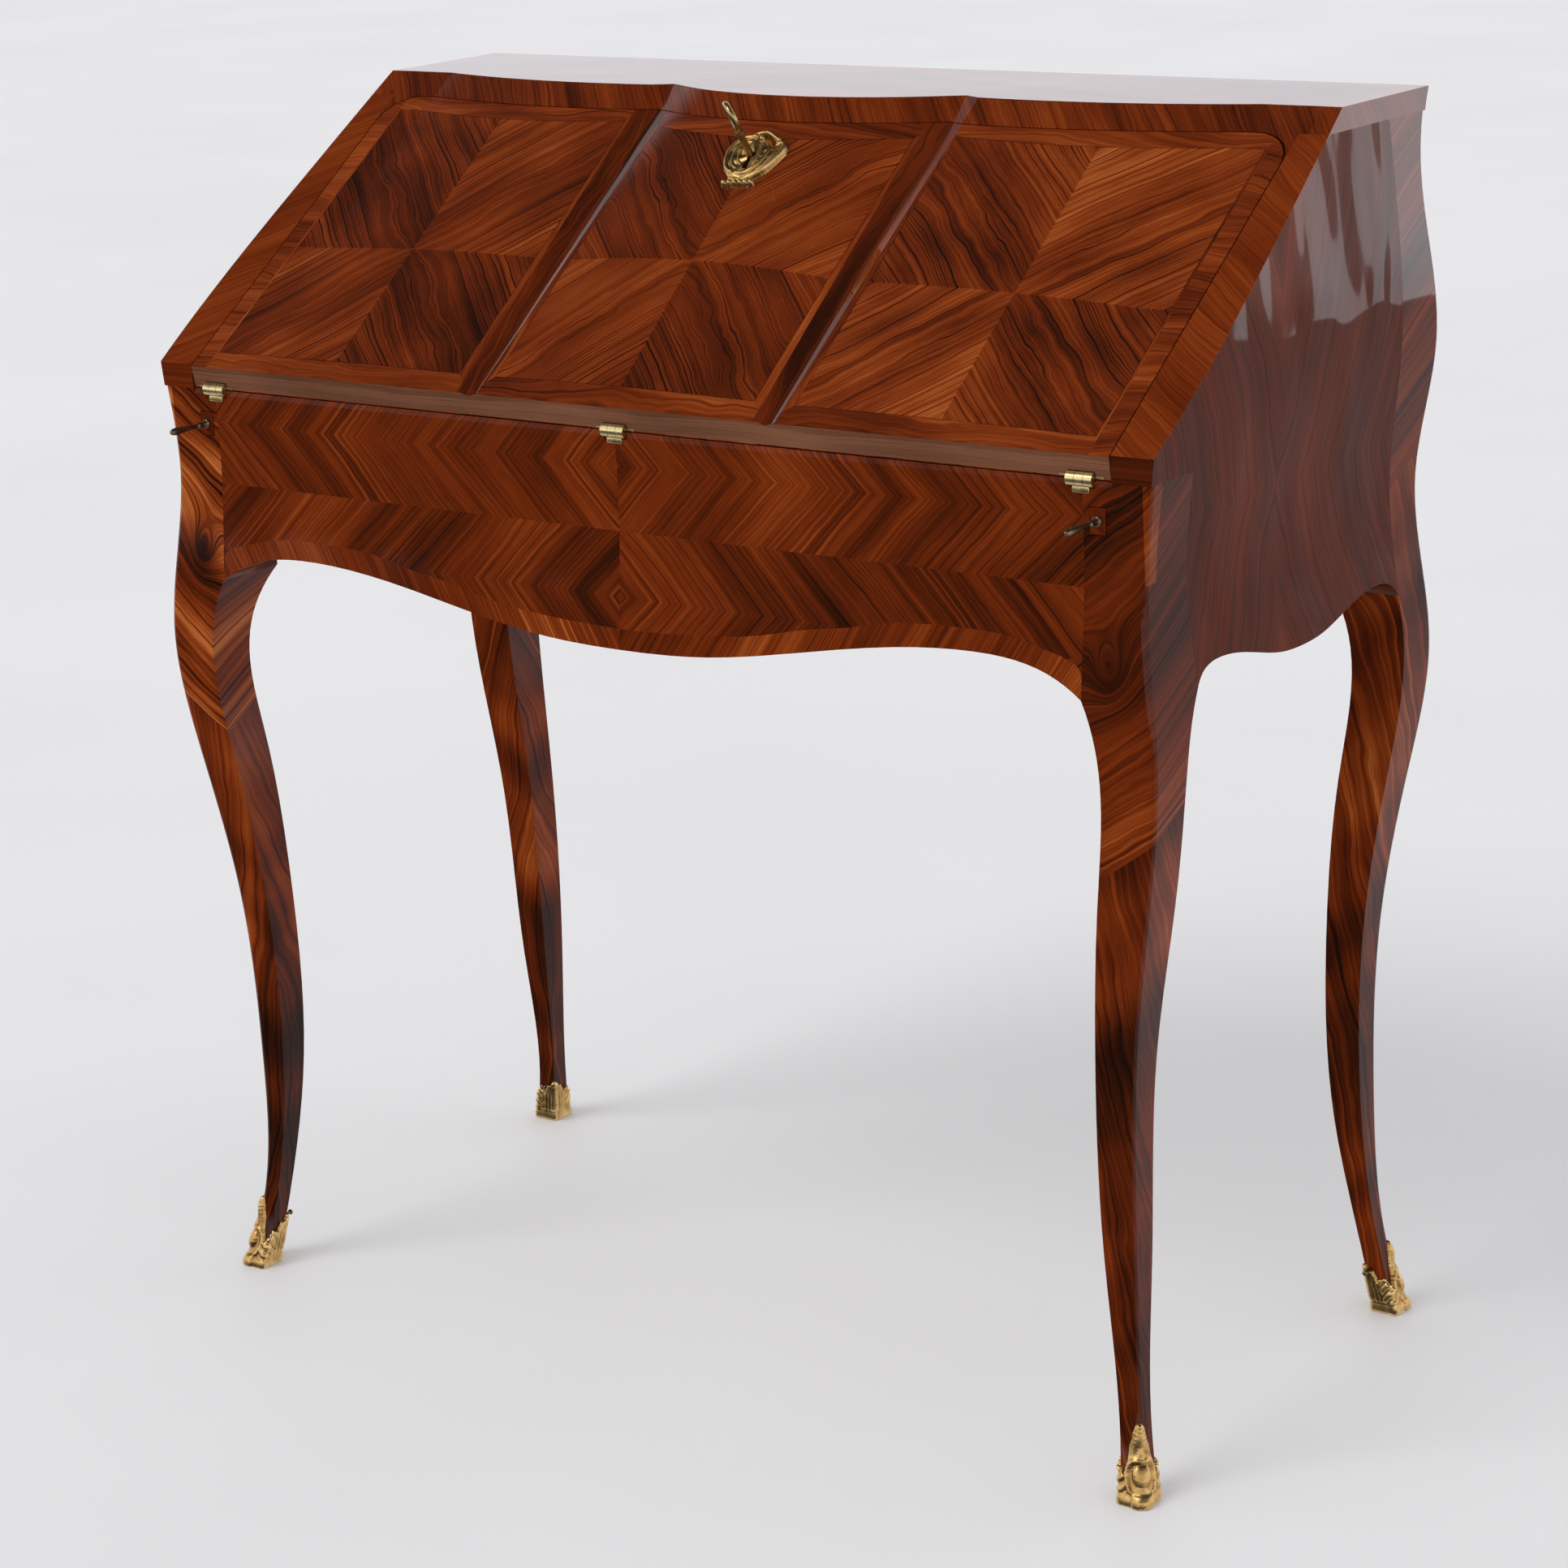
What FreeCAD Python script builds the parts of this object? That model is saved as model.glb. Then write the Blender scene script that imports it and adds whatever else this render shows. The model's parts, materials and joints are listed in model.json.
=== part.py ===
import FreeCAD, Part
import math
import os
from types import SimpleNamespace

# Slant-front desk on cabriole legs, in millimetres.
# +X is to the sitter's right, +Y to the back, +Z up; the origin is on the floor under the middle.

DIMENSIONS = {
    # Overall form
    "hinge_height": 722, "upper_rise": 208, "half_width": 434, "case_depth": 402, "top_depth": 129,
    "top_thickness": 16, "hinge_proud": 2, "beak_rise": 18, "beak_proud": 3.5,
    # How far the side outline stands out of the half width at each level
    "side_toe": -10, "side_instep": -23, "side_ankle": -28, "side_calf": -22.5, "side_thigh": -3,
    "side_knee": 7, "side_waist": -4, "side_bulge": 5, "side_neck": 0, "side_top": -7,
    # The same for the front outline
    "front_toe": 12, "front_instep": -4, "front_ankle": -9.5, "front_calf": -4, "front_thigh": 7.5,
    "front_knee": 13, "front_waist": 3, "front_bulge": 4, "front_neck": 4, "front_top": 4,
    # The same for the rear outline
    "rear_toe": -14, "rear_instep": -26, "rear_ankle": -36, "rear_calf": -37, "rear_thigh": -30,
    "rear_knee": -19, "rear_waist": -20.5, "rear_bulge": -6.5, "rear_neck": -21, "rear_top": 0,
    # Thickness of the leg at each level
    "toe_thickness": 20, "instep_thickness": 16, "ankle_thickness": 24, "calf_thickness": 30.5,
    "thigh_thickness": 38.5, "knee_thickness": 43, "post_inset": 22, "post_depth": 50, "rear_post_depth": 64,
    "arris_radius": 4,
    # Bronze feet
    "sabot_wall": 2, "sabot_sole": 4, "sabot_tip": 58, "sabot_notch": 21, "sabot_back": 31, "leaf_swell": 1,
    "nail_head": 2.6, "nail_rise": 1.4, "nail_length": 9, "nail_shank": 0.9, "nail_height": 14,
    # Panels of the case
    "apron_back": 20, "side_thickness": 28, "back_inset": 24, "back_thickness": 16,
    "bottom_thickness": 8, "bed_thickness": 10, "bed_gap": 0.5,
    # How far the edges of the panels and the bottom lie below the hinge line
    "pendant_drop": 157, "arch_drop": 124, "side_pendant_drop": 150, "side_arch_drop": 133,
    "arch_foot_drop": 147, "bottom_drop": 118,
    # Crossbow front: heights over the flat stiles, at the hinge line and at the top
    "valley_low": -3, "valley_high": 9, "middle_low": 1.5, "middle_high": 35,
    "outer_low": 1, "outer_high": 14.4, "swell_inset": 41,
    # Grooves in the valleys, likewise
    "groove_half_low": 9, "groove_half_high": 16, "groove_depth_low": 3.5, "groove_depth_high": 5,
    # Fall
    "fall_side_gap": 1, "fall_joint_gap": 1, "fall_foot_gap": 0.6, "fall_bevel": 6.5, "fall_corner": 30,
    "leather_side": 75, "leather_foot": 40, "leather_lock_gap": 16, "leather_thickness": 1.2,
    "rail_depth": 10, "rail_lip": 16, "stop_gap": 0.4, "stop_thickness": 12, "stop_width": 10,
    "stop_low": 120, "stop_length": 80,
    # Hinges
    "hinge_inset": 23, "barrel_radius": 5.2, "barrel_length": 20, "knuckle_gap": 0.3,
    "pin_radius": 1.5, "pin_clearance": 0.05, "barrel_room": 0.5, "leaf_thickness": 2,
    "leaf_reach": 19, "leaf_width": 34,
    "screw_head": 2.6, "screw_length": 9, "screw_shank": 1.1, "screw_offset": 12, "screw_reach": 13,
    # Lopers
    "loper_width": 12, "loper_height": 18, "loper_back_gap": 47, "loper_proud": 3,
    "loper_drop": 2.2, "loper_clearance": 0.5, "guide_wall": 7, "guide_floor": 9,
    "pull_length": 40, "pull_radius": 6,
    # Well under the writing bed
    "well_half_width": 150, "well_front": 20, "well_length": 130, "cheek_thickness": 12,
    "cheek_groove": 5, "cheek_back_gap": 55, "lid_thickness": 6, "lid_clearance": 0.5,
    "finger_radius": 11, "finger_place": 24,
    # Drawers and pigeonholes
    "nest_depth": 102, "drawer_height": 55, "shelf_thickness": 7, "divider_thickness": 8,
    "top_room": 41, "drawer_gap": 0.8, "drawer_wall": 6, "drawer_front": 9,
    "drawer_floor": 5, "drawer_slack": 4, "drawer_knob_length": 13, "drawer_knob_radius": 6,
    "pigeonhole_setback": 6,
    # Lock and key
    "lock_half_width": 32, "lock_length": 60, "lock_depth": 13, "lock_wall": 1.4, "lock_setback": 4,
    "key_setback": 34, "key_radius": 2.6, "key_clearance": 0.6, "key_reach": 28, "bow_radius": 10,
    "bow_wire": 2.2, "bit_length": 8, "bit_thickness": 2, "bit_width": 4, "collar_radius": 4,
    "collar_length": 3,
    "bolt_half_width": 8, "bolt_thickness": 4, "bolt_length": 22, "bolt_clearance": 0.5,
    "bolt_throw": 8, "strike_half_width": 20, "strike_thickness": 2, "strike_room": 1,
    "plate_radius": 23.5, "plate_thickness": 2.2, "plate_frill": 2.2,
    # One overrun for all cuts
    "overrun": 60,
}

# Levels of the bowed outline: shares of the hinge height, then of the rise from there to the top
LEG_LEVEL_SHARES = {"instep": 0.0831, "ankle": 0.2355, "calf": 0.4432, "thigh": 0.6094, "knee": 0.7341}
WAIST_SHARE = 0.9072
UPPER_LEVEL_SHARES = {"bulge": 0.1346, "neck": 0.7019}
# Place of the valleys between the three swellings: share of the half width
VALLEY_SHARE = 0.3041
# Lower edge of the aprons: share of the half span, and share of the rise from pendant to arch
LOWER_EDGE_SHARES = ((0.92, 0.79), (0.77, 1.0), (0.47, 0.61), (0.2, 0.1), (0, 0))
# Notch in each face of a bronze foot: share of the face's width from the outer corner
NOTCH_SHARE = 0.66
PLATE_LOBES = 9
PLATE_STRETCH_SHARE = 0.9
KEY_TURN_DEGREES = 49
DRAWER_COUNT = 3
PIGEONHOLE_COUNT = 5

doc = FreeCAD.newDocument("slant_front_desk")
sheet = doc.addObject("Spreadsheet::Sheet", "dims")
for row, (alias, value) in enumerate(DIMENSIONS.items(), start=1):
    sheet.set(f"A{row}", alias)
    sheet.set(f"B{row}", str(value))
    sheet.setAlias(f"B{row}", alias)
doc.recompute()
d = SimpleNamespace(**{alias: float(sheet.get(alias)) for alias in DIMENSIONS})

Vector = FreeCAD.Vector
X_AXIS, Y_AXIS, Z_AXIS = Vector(1, 0, 0), Vector(0, 1, 0), Vector(0, 0, 1)
nodes = {}

# Places that several pieces share, first as expressions on the sheet and then as numbers
FRONT = "((dims.case_depth - dims.pull_length - dims.loper_proud) / 2)"
REAR = "((dims.case_depth + dims.pull_length + dims.loper_proud) / 2)"
INSIDE = "(dims.half_width - dims.side_thickness)"
POST = f"({INSIDE} - dims.post_inset)"
BED = "(dims.hinge_height - dims.bed_gap)"
BED_UNDER = "(dims.hinge_height - dims.bed_gap - dims.bed_thickness)"
BACK = f"({REAR} - dims.back_inset - dims.back_thickness)"
ARCH_FOOT = "(dims.hinge_height - dims.arch_foot_drop)"
BOTTOM = "(dims.hinge_height - dims.bottom_drop)"
FLOOR = f"({BOTTOM} + dims.bottom_thickness)"
SHELF = f"({BED} + dims.drawer_height)"
UPPER_SHELF_TOP = "(dims.hinge_height + dims.upper_rise - dims.top_thickness - dims.top_room)"
UPPER_SHELF = f"({UPPER_SHELF_TOP} - dims.shelf_thickness)"
CELL = f"((2 * {INSIDE} - {DRAWER_COUNT - 1} * dims.divider_thickness) / {DRAWER_COUNT})"

front = (d.case_depth - d.pull_length - d.loper_proud) / 2
rear = (d.case_depth + d.pull_length + d.loper_proud) / 2
inside = d.half_width - d.side_thickness
post = inside - d.post_inset
bed_top = d.hinge_height - d.bed_gap
back_face = rear - d.back_inset - d.back_thickness
front_post_back = d.post_depth - front
rear_post_front = rear - d.rear_post_depth
total_height = d.hinge_height + d.upper_rise
top_under = total_height - d.top_thickness
arch_foot = d.hinge_height - d.arch_foot_drop
valley_place = VALLEY_SHARE * d.half_width
swell_end = inside - d.swell_inset
apron_inner = d.apron_back - front

# The slope runs from the beak over the front posts to the front edge of the top
beak = Vector(0, -front - d.beak_proud, d.hinge_height + d.beak_rise)
brow = Vector(0, rear - d.top_depth, total_height)
slope = math.atan2(brow.z - beak.z, brow.y - beak.y)
hinge = Vector(0, -front - d.hinge_proud, d.hinge_height)
normal = Vector(0, -math.sin(slope), math.cos(slope))
uphill = Vector(0, math.cos(slope), math.sin(slope))
fall_edge = (beak - hinge).dot(normal)
fall_length = (brow - hinge).dot(uphill)
# In the fall's own frame X is across, Y runs uphill from the hinge line and Z points out of the desk
fall_frame = FreeCAD.Placement(hinge, FreeCAD.Rotation(X_AXIS, math.degrees(slope)))


def publish(piece, label):
    """Name a finished sub-part and put it on the list of nodes."""
    piece.Label = label
    nodes[label] = piece
    return piece


def feature(label, shape, placement=None):
    """A sub-part whose shape is set directly."""
    piece = doc.addObject("Part::Feature", label)
    piece.Shape = shape
    if placement is not None:
        piece.Placement = placement
    return publish(piece, label)


def board(name, low, high):
    """A box between two corners whose coordinates are expressions on the sheet."""
    piece = doc.addObject("Part::Box", name)
    for prop, axis, start, end in zip(("Length", "Width", "Height"), "xyz", low, high):
        piece.setExpression(prop, f"({end}) - ({start})")
        piece.setExpression(f"Placement.Base.{axis}", start)
    return piece


def cut(name, base, tools):
    """Base less each of the tools in turn."""
    for number, tool in enumerate(tools):
        piece = doc.addObject("Part::Cut", f"{name}_cut_{number}")
        piece.Base = base
        piece.Tool = tool
        base = piece
    return base


def block(low, high):
    """A plain box shape between two corners."""
    low, high = Vector(*low), Vector(*high)
    size = high - low
    return Part.makeBox(size.x, size.y, size.z, low)


def prism(edges, direction):
    """A closed outline of edges, pushed along a direction."""
    return Part.Face(Part.Wire(edges)).extrude(direction)


def polygon(points):
    """The edges of a closed polygon."""
    return [Part.makeLine(a, b) for a, b in zip(points, points[1:] + points[:1])]


def spline(points):
    """One smooth edge through the points."""
    curve = Part.BSplineCurve()
    curve.interpolate(points)
    return curve.toShape()


def arc(start, middle, end):
    """A round edge through three points."""
    return Part.Arc(start, middle, end).toShape()


def in_fall(shape):
    """A shape of the fall's own frame, moved to its place in the desk."""
    moved = shape.copy()
    moved.Placement = fall_frame.multiply(moved.Placement)
    return moved


def mirrored(shape):
    """The same shape on the other side of the desk."""
    return shape.mirror(Vector(0, 0, 0), X_AXIS)


# Bowed outline of the case and legs

level_heights = {level: share * d.hinge_height for level, share in LEG_LEVEL_SHARES.items()}
level_heights["waist"] = WAIST_SHARE * d.hinge_height
for level, share in UPPER_LEVEL_SHARES.items():
    level_heights[level] = d.hinge_height + share * d.upper_rise


def outline(face):
    """Points (stand-out, height) of the side, front or rear outline from the floor to the top."""
    points = [(getattr(d, f"{face}_toe"), 0)]
    points += [(getattr(d, f"{face}_{level}"), height) for level, height in level_heights.items()]
    points.append((getattr(d, f"{face}_top"), total_height))
    return points


def shin(face, extra):
    """Points of the leg's inner outline, from the foot of the arch down to the floor."""
    points = [(getattr(d, f"{face}_{level}") - getattr(d, f"{level}_thickness") - extra,
               level_heights[level]) for level in reversed(LEG_LEVEL_SHARES)]
    points.append((getattr(d, f"{face}_toe") - d.toe_thickness - extra, 0))
    return points


def bowed_slab(face, plane, inner, place, along, extra=0, leg=False):
    """Everything between a flat inner plane and the bowed outline, pushed along one axis.

    place turns (stand-out from the plane, height) into a point; a leg is also shaped on its inner side.
    """
    outer = [place(plane + out + extra, up) for out, up in outline(face)]
    edges = [spline(outer)]
    top_inner = place(inner, total_height)
    edges.append(Part.makeLine(outer[-1], top_inner))
    if leg:
        low = [place(inner, arch_foot)] + [place(plane + out, up) for out, up in shin(face, extra)]
        edges.append(Part.makeLine(top_inner, low[0]))
        edges.append(spline(low))
        edges.append(Part.makeLine(low[-1], outer[0]))
    else:
        low_inner = place(inner, 0)
        edges.append(Part.makeLine(top_inner, low_inner))
        edges.append(Part.makeLine(low_inner, outer[0]))
    return prism(edges, along)


REACH = 2 * (d.half_width + d.case_depth)


def side_slab(inner, extra=0, leg=False):
    """The desk's right-hand outline, from an inner plane outwards."""
    return bowed_slab("side", d.half_width, inner, lambda out, up: Vector(out, -REACH, up),
                      Vector(0, 2 * REACH, 0), extra, leg)


def front_slab(inner, extra=0, leg=False):
    """The desk's front outline, from an inner plane forwards."""
    return bowed_slab("front", front, inner, lambda out, up: Vector(-REACH, -out, up),
                      Vector(2 * REACH, 0, 0), extra, leg)


def rear_slab(inner, extra=0, leg=False):
    """The desk's rear outline, from an inner plane backwards."""
    return bowed_slab("rear", rear, inner, lambda out, up: Vector(-REACH, out, up),
                      Vector(2 * REACH, 0, 0), extra, leg)


def wall_room(bottom, top):
    """Everything between two heights."""
    return block((-REACH, -REACH, bottom), (REACH, REACH, top))


# Crossbow slope, in the fall's own frame


def level(name, place):
    """A size of the crossbow at a distance up the slope, between its low and its high value."""
    low, high = getattr(d, f"{name}_low"), getattr(d, f"{name}_high")
    return low + (high - low) * place / fall_length


def crossbow_wire(place, extra):
    """One section across the desk: flat stiles, then three swellings with a groove in each valley."""
    half, deep = d.half_width + d.overrun, -REACH
    rise = fall_edge + extra
    groove = level("groove_half", place)
    bottom = level("valley", place)
    shoulder = bottom + level("groove_depth", place)
    crest = (swell_end + valley_place + groove) / 2
    at = lambda across, out: Vector(across, place, rise + out)
    right = [Part.makeLine(at(valley_place - groove, shoulder), at(valley_place, bottom)),
             Part.makeLine(at(valley_place, bottom), at(valley_place + groove, shoulder)),
             arc(at(valley_place + groove, shoulder), at(crest, level("outer", place)), at(swell_end, 0)),
             Part.makeLine(at(swell_end, 0), at(half, 0)),
             Part.makeLine(at(half, 0), at(half, deep))]
    left = [mirrored(edge) for edge in reversed(right)]
    middle = arc(at(groove - valley_place, shoulder), at(0, level("middle", place)),
                 at(valley_place - groove, shoulder))
    foot = Part.makeLine(at(half, deep), at(-half, deep))
    return Part.Wire(left + [middle] + right + [foot])


def crossbow(extra=0):
    """Everything below the crossbow slope."""
    ends = [crossbow_wire(-d.overrun, extra), crossbow_wire(fall_length + d.case_depth, extra)]
    return Part.makeLoft(ends, True, True)


def joint_place(*names):
    """How far up the slope the underside of the top meets a height that is the sum of named ones."""
    low = sum(level(name, 0) for name in names)
    steep = (sum(level(name, fall_length) for name in names) - low) / fall_length
    climb = top_under - d.hinge_height - (fall_edge + low) * math.cos(slope)
    return climb / (math.sin(slope) + steep * math.cos(slope))


def fall_outline(half, gap):
    """Edges of the fall seen square on, with its three-arched top edge and round upper corners."""
    foot = -d.overrun
    flat = joint_place() - gap
    shoulder_place = joint_place("valley", "groove_depth")
    groove = level("groove_half", shoulder_place)
    turn = half - d.fall_corner
    bend = d.fall_corner * math.sqrt(0.5)
    lower = Vector(half, flat - d.fall_corner, 0)
    upper = Vector(turn, flat, 0)
    start = Vector(swell_end, flat, 0)
    crest = Vector((swell_end + valley_place + groove) / 2, joint_place("outer") - gap, 0)
    outer_end = Vector(valley_place + groove, shoulder_place - gap, 0)
    peak = Vector(valley_place, joint_place("valley") - gap, 0)
    middle_end = Vector(valley_place - groove, shoulder_place - gap, 0)
    right = [Part.makeLine(Vector(half, foot, 0), lower),
             arc(lower, Vector(turn + bend, flat - d.fall_corner + bend, 0), upper),
             Part.makeLine(upper, start),
             arc(start, crest, outer_end),
             Part.makeLine(outer_end, peak),
             Part.makeLine(peak, middle_end)]
    left = [mirrored(edge) for edge in reversed(right)]
    top = arc(middle_end, Vector(0, middle_top - gap, 0), Vector(-middle_end.x, middle_end.y, 0))
    foot_line = Part.makeLine(Vector(-half, foot, 0), Vector(half, foot, 0))
    return right + [top] + left + [foot_line]


middle_top = joint_place("middle")
key_place = middle_top - d.fall_joint_gap - d.key_setback
key_swell = fall_edge + level("middle", key_place)


# Hinges: one case leaf, one fall leaf and one pin, made at the middle of the desk

knuckle = d.barrel_length / 3


def barrel(start, end, radius):
    """A round stretch of the hinge line, in the fall's own frame."""
    return Part.makeCylinder(radius, end - start, Vector(start, 0, 0), X_AXIS)


def case_leaf_shape():
    """Leaf that lies on the apron, with the two outer knuckles."""
    half = d.barrel_length / 2
    plate = block((-d.leaf_width / 2, hinge.y, bed_top - d.leaf_thickness),
                  (d.leaf_width / 2, hinge.y + d.leaf_reach, bed_top))
    whole = barrel(-half, half, d.barrel_radius)
    whole.translate(hinge)
    room = barrel(-knuckle / 2 - d.knuckle_gap, knuckle / 2 + d.knuckle_gap,
                  d.barrel_radius + d.barrel_room)
    room.translate(hinge)
    bore = barrel(-half - d.overrun, half + d.overrun, d.pin_radius + d.pin_clearance)
    bore.translate(hinge)
    return plate.fuse(whole).cut(room).cut(bore).removeSplitter()


def fall_leaf_shape():
    """Leaf that is let into the fall, with the middle knuckle, in the fall's own frame."""
    half = d.barrel_length / 2 + d.knuckle_gap
    plate = block((-d.leaf_width / 2, 0, 0), (d.leaf_width / 2, d.leaf_reach, d.leaf_thickness))
    for side in (-1, 1):
        start, end = sorted((side * knuckle / 2, side * half))
        plate = plate.cut(barrel(start, end, d.barrel_radius + d.barrel_room))
    plate = plate.cut(block((-d.leaf_width / 2, -d.overrun, -d.overrun),
                            (-half, d.fall_foot_gap, d.overrun)))
    plate = plate.cut(block((half, -d.overrun, -d.overrun),
                            (d.leaf_width / 2, d.fall_foot_gap, d.overrun)))
    eye = barrel(-knuckle / 2, knuckle / 2, d.barrel_radius)
    bore = barrel(-knuckle, knuckle, d.pin_radius + d.pin_clearance)
    return plate.fuse(eye).cut(bore).removeSplitter()


def barrel_room_shape():
    """Room that the turning barrel needs in the wood, in the fall's own frame."""
    half = d.barrel_length / 2 + d.knuckle_gap
    return barrel(-half, half, d.barrel_radius + d.barrel_room)


def screw_shape(point, out, length, head, shank):
    """A countersunk screw or nail whose head is flush at a point and faces along out."""
    depth = head - shank
    cone = Part.makeCone(head, shank, depth, point, -out)
    stem = Part.makeCylinder(shank, length - depth, point - out * depth, -out)
    return cone.fuse(stem)


hinge_place = inside - d.hinge_inset
HINGE_PLACES = {"left": -hinge_place, "middle": 0, "right": hinge_place}
case_leaf, fall_leaf = case_leaf_shape(), fall_leaf_shape()
case_screws, fall_screws = [], []
for across in HINGE_PLACES.values():
    for side in (-1, 1):
        spot = Vector(across + side * d.screw_offset, hinge.y + d.screw_reach, bed_top)
        case_screws.append(screw_shape(spot, Z_AXIS, d.screw_length, d.screw_head, d.screw_shank))
        spot = Vector(across + side * d.screw_offset, d.screw_reach, 0)
        fall_screws.append(screw_shape(spot, -Z_AXIS, d.screw_length, d.screw_head, d.screw_shank))


def at_hinges(shape):
    """Copies of a shape at every hinge."""
    return [shape.translated(Vector(across, 0, 0)) for across in HINGE_PLACES.values()]


hinge_room = [in_fall(room) for room in at_hinges(barrel_room_shape())]
for name, across in HINGE_PLACES.items():
    own = case_leaf.translated(Vector(across, 0, 0))
    feature(f"{name}_hinge_case_leaf", own.cut(Part.makeCompound(case_screws)))
    own = fall_leaf.translated(Vector(across, 0, 0))
    feature(f"{name}_hinge_fall_leaf", own.cut(Part.makeCompound(fall_screws)), fall_frame)
hinge_pin = barrel(-d.barrel_length / 2, d.barrel_length / 2, d.pin_radius)
feature("hinge_pins", Part.makeCompound(at_hinges(hinge_pin)), FreeCAD.Placement(hinge, FreeCAD.Rotation()))
feature("hinge_case_screws", Part.makeCompound(case_screws))
feature("hinge_fall_screws", Part.makeCompound(fall_screws), fall_frame)

# Room in front of the hinge line for the foot of the open fall
tilt = d.fall_bevel / fall_edge
open_room = prism(polygon([
    Vector(-inside, hinge.y + d.fall_foot_gap, d.hinge_height + d.overrun),
    Vector(-inside, hinge.y + d.fall_foot_gap, d.hinge_height),
    Vector(-inside, hinge.y - d.overrun * tilt, d.hinge_height - d.overrun),
    Vector(-inside, hinge.y - d.overrun, d.hinge_height - d.overrun),
    Vector(-inside, hinge.y - d.overrun, d.hinge_height + d.overrun)]), Vector(2 * inside, 0, 0))
open_room = open_room.common(wall_room(d.hinge_height - fall_edge - d.loper_drop, total_height))
top_of_apron = [open_room] + hinge_room + [case_leaf.translated(Vector(across, 0, 0))
                                           for across in HINGE_PLACES.values()] + case_screws


# Lopers, their turned pulls and the guides that they run in

loper_top = d.hinge_height - fall_edge - d.loper_drop
loper_front = -front - d.loper_proud
loper_back = back_face - d.loper_back_gap
loper_place = (post + inside) / 2


def loper_room(side):
    """The mortise that a loper runs through."""
    half, play = d.loper_width / 2, d.loper_clearance
    middle = side * loper_place
    return block((middle - half - play, loper_front - d.overrun, loper_top - d.loper_height - play),
                 (middle + half + play, loper_back + d.overrun, loper_top + play))


def turned(name, label, profile, place, turn):
    """A turned knob: a half outline (radius, distance along the axis) spun round its axis."""
    body = doc.addObject("PartDesign::Body", name)
    plane = next(f for f in body.Origin.OriginFeatures if f.Role == "XZ_Plane")
    sketch = body.newObject("Sketcher::SketchObject", f"{name}_outline")
    sketch.AttachmentSupport = (plane, [""])
    sketch.MapMode = "FlatFace"
    for (r_a, z_a), (r_b, z_b) in zip(profile, profile[1:] + profile[:1]):
        sketch.addGeometry(Part.LineSegment(Vector(r_a, z_a, 0), Vector(r_b, z_b, 0)), False)
    spin = body.newObject("PartDesign::Revolution", f"{name}_turning")
    spin.Profile = sketch
    spin.ReferenceAxis = (sketch, ["V_Axis"])
    spin.Angle = 360
    body.Tip = spin
    body.Placement = FreeCAD.Placement(place, turn)
    return publish(body, label)


# Half outlines of the knobs: shares of the radius and of the length
PULL_SHARES = ((0.0, 0.0), (1.0, 0.0), (1.0, 0.05), (0.7, 0.1), (0.5, 0.15), (0.5, 0.22), (0.62, 0.25),
               (0.62, 0.29), (0.48, 0.33), (0.52, 0.5), (0.66, 0.66), (0.8, 0.78), (0.84, 0.87),
               (0.68, 0.95), (0.34, 0.99), (0.0, 1.0))
KNOB_SHARES = ((0.0, 0.0), (0.66, 0.0), (0.62, 0.1), (0.43, 0.2), (0.43, 0.36), (0.8, 0.5),
               (1.0, 0.66), (0.92, 0.84), (0.6, 0.96), (0.0, 1.0))
FORWARD = FreeCAD.Rotation(X_AXIS, 90)


def knob_profile(shares, radius, length):
    """A half outline in real sizes."""
    return [(across * radius, along * length) for across, along in shares]


for name, side in (("left", -1), ("right", 1)):
    bar = doc.addObject("Part::Box", f"{name}_loper_bar")
    bar.setExpression("Length", "dims.loper_width")
    bar.setExpression("Width", f"{BACK} - dims.loper_back_gap + {FRONT} + dims.loper_proud")
    bar.setExpression("Height", "dims.loper_height")
    bar.Placement.Base = Vector(side * loper_place - d.loper_width / 2, loper_front,
                                loper_top - d.loper_height)
    publish(bar, f"{name}_loper")
    turned(f"{name}_pull_body", f"{name}_loper_pull",
           knob_profile(PULL_SHARES, d.pull_radius, d.pull_length),
           Vector(side * loper_place, loper_front, loper_top - d.loper_height / 2), FORWARD)
    inner = side * (loper_place - d.loper_width / 2 - d.loper_clearance - d.guide_wall)
    low, high = sorted((inner, side * inside))
    guide = block((low, front_post_back, loper_top - d.loper_height - d.loper_clearance - d.guide_floor),
                  (high, loper_back, loper_top + d.loper_clearance))
    feature(f"{name}_loper_guide", guide.cut(loper_room(side)))


# Legs and posts, in one piece each, and their bronze feet


def leg_shape(slab, inner, extra, bottom, top):
    """Right-hand leg: what the side outline and the front or rear outline have in common.

    The outer corner, which is the longest edge, is rounded.
    """
    both = side_slab(post - extra, extra, True).common(slab(inner, extra, True))
    both = both.common(block((0, -REACH, bottom), (REACH, REACH, top)))
    arris = max(both.Edges, key=lambda edge: edge.Length)
    return both.makeFillet(d.arris_radius, [arris])


def across_front(y):
    """A maker of points in an upright plane across the desk."""
    return lambda across, up: Vector(across, y, up)


def leaf_room(outer, inner, place, along):
    """Everything above a leaf-shaped edge: a tall leaf on the outer corner, a notch and a low leaf."""
    dip = outer + NOTCH_SHARE * (inner - outer)
    beyond = math.copysign(REACH, inner - outer)
    tall = arc(place(outer, d.sabot_tip),
               place((outer + dip) / 2, (d.sabot_tip + d.sabot_notch) / 2 + d.leaf_swell),
               place(dip, d.sabot_notch))
    low = arc(place(dip, d.sabot_notch),
              place((dip + inner) / 2, (d.sabot_notch + d.sabot_back) / 2 + d.leaf_swell),
              place(inner, d.sabot_back))
    chain = [place(inner, d.sabot_back), place(inner + beyond, d.sabot_back),
             place(inner + beyond, total_height), place(outer - beyond, total_height),
             place(outer - beyond, d.sabot_tip), place(outer, d.sabot_tip)]
    edges = [tall, low] + [Part.makeLine(a, b) for a, b in zip(chain, chain[1:])]
    return prism(edges, along * 2 * REACH)


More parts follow.
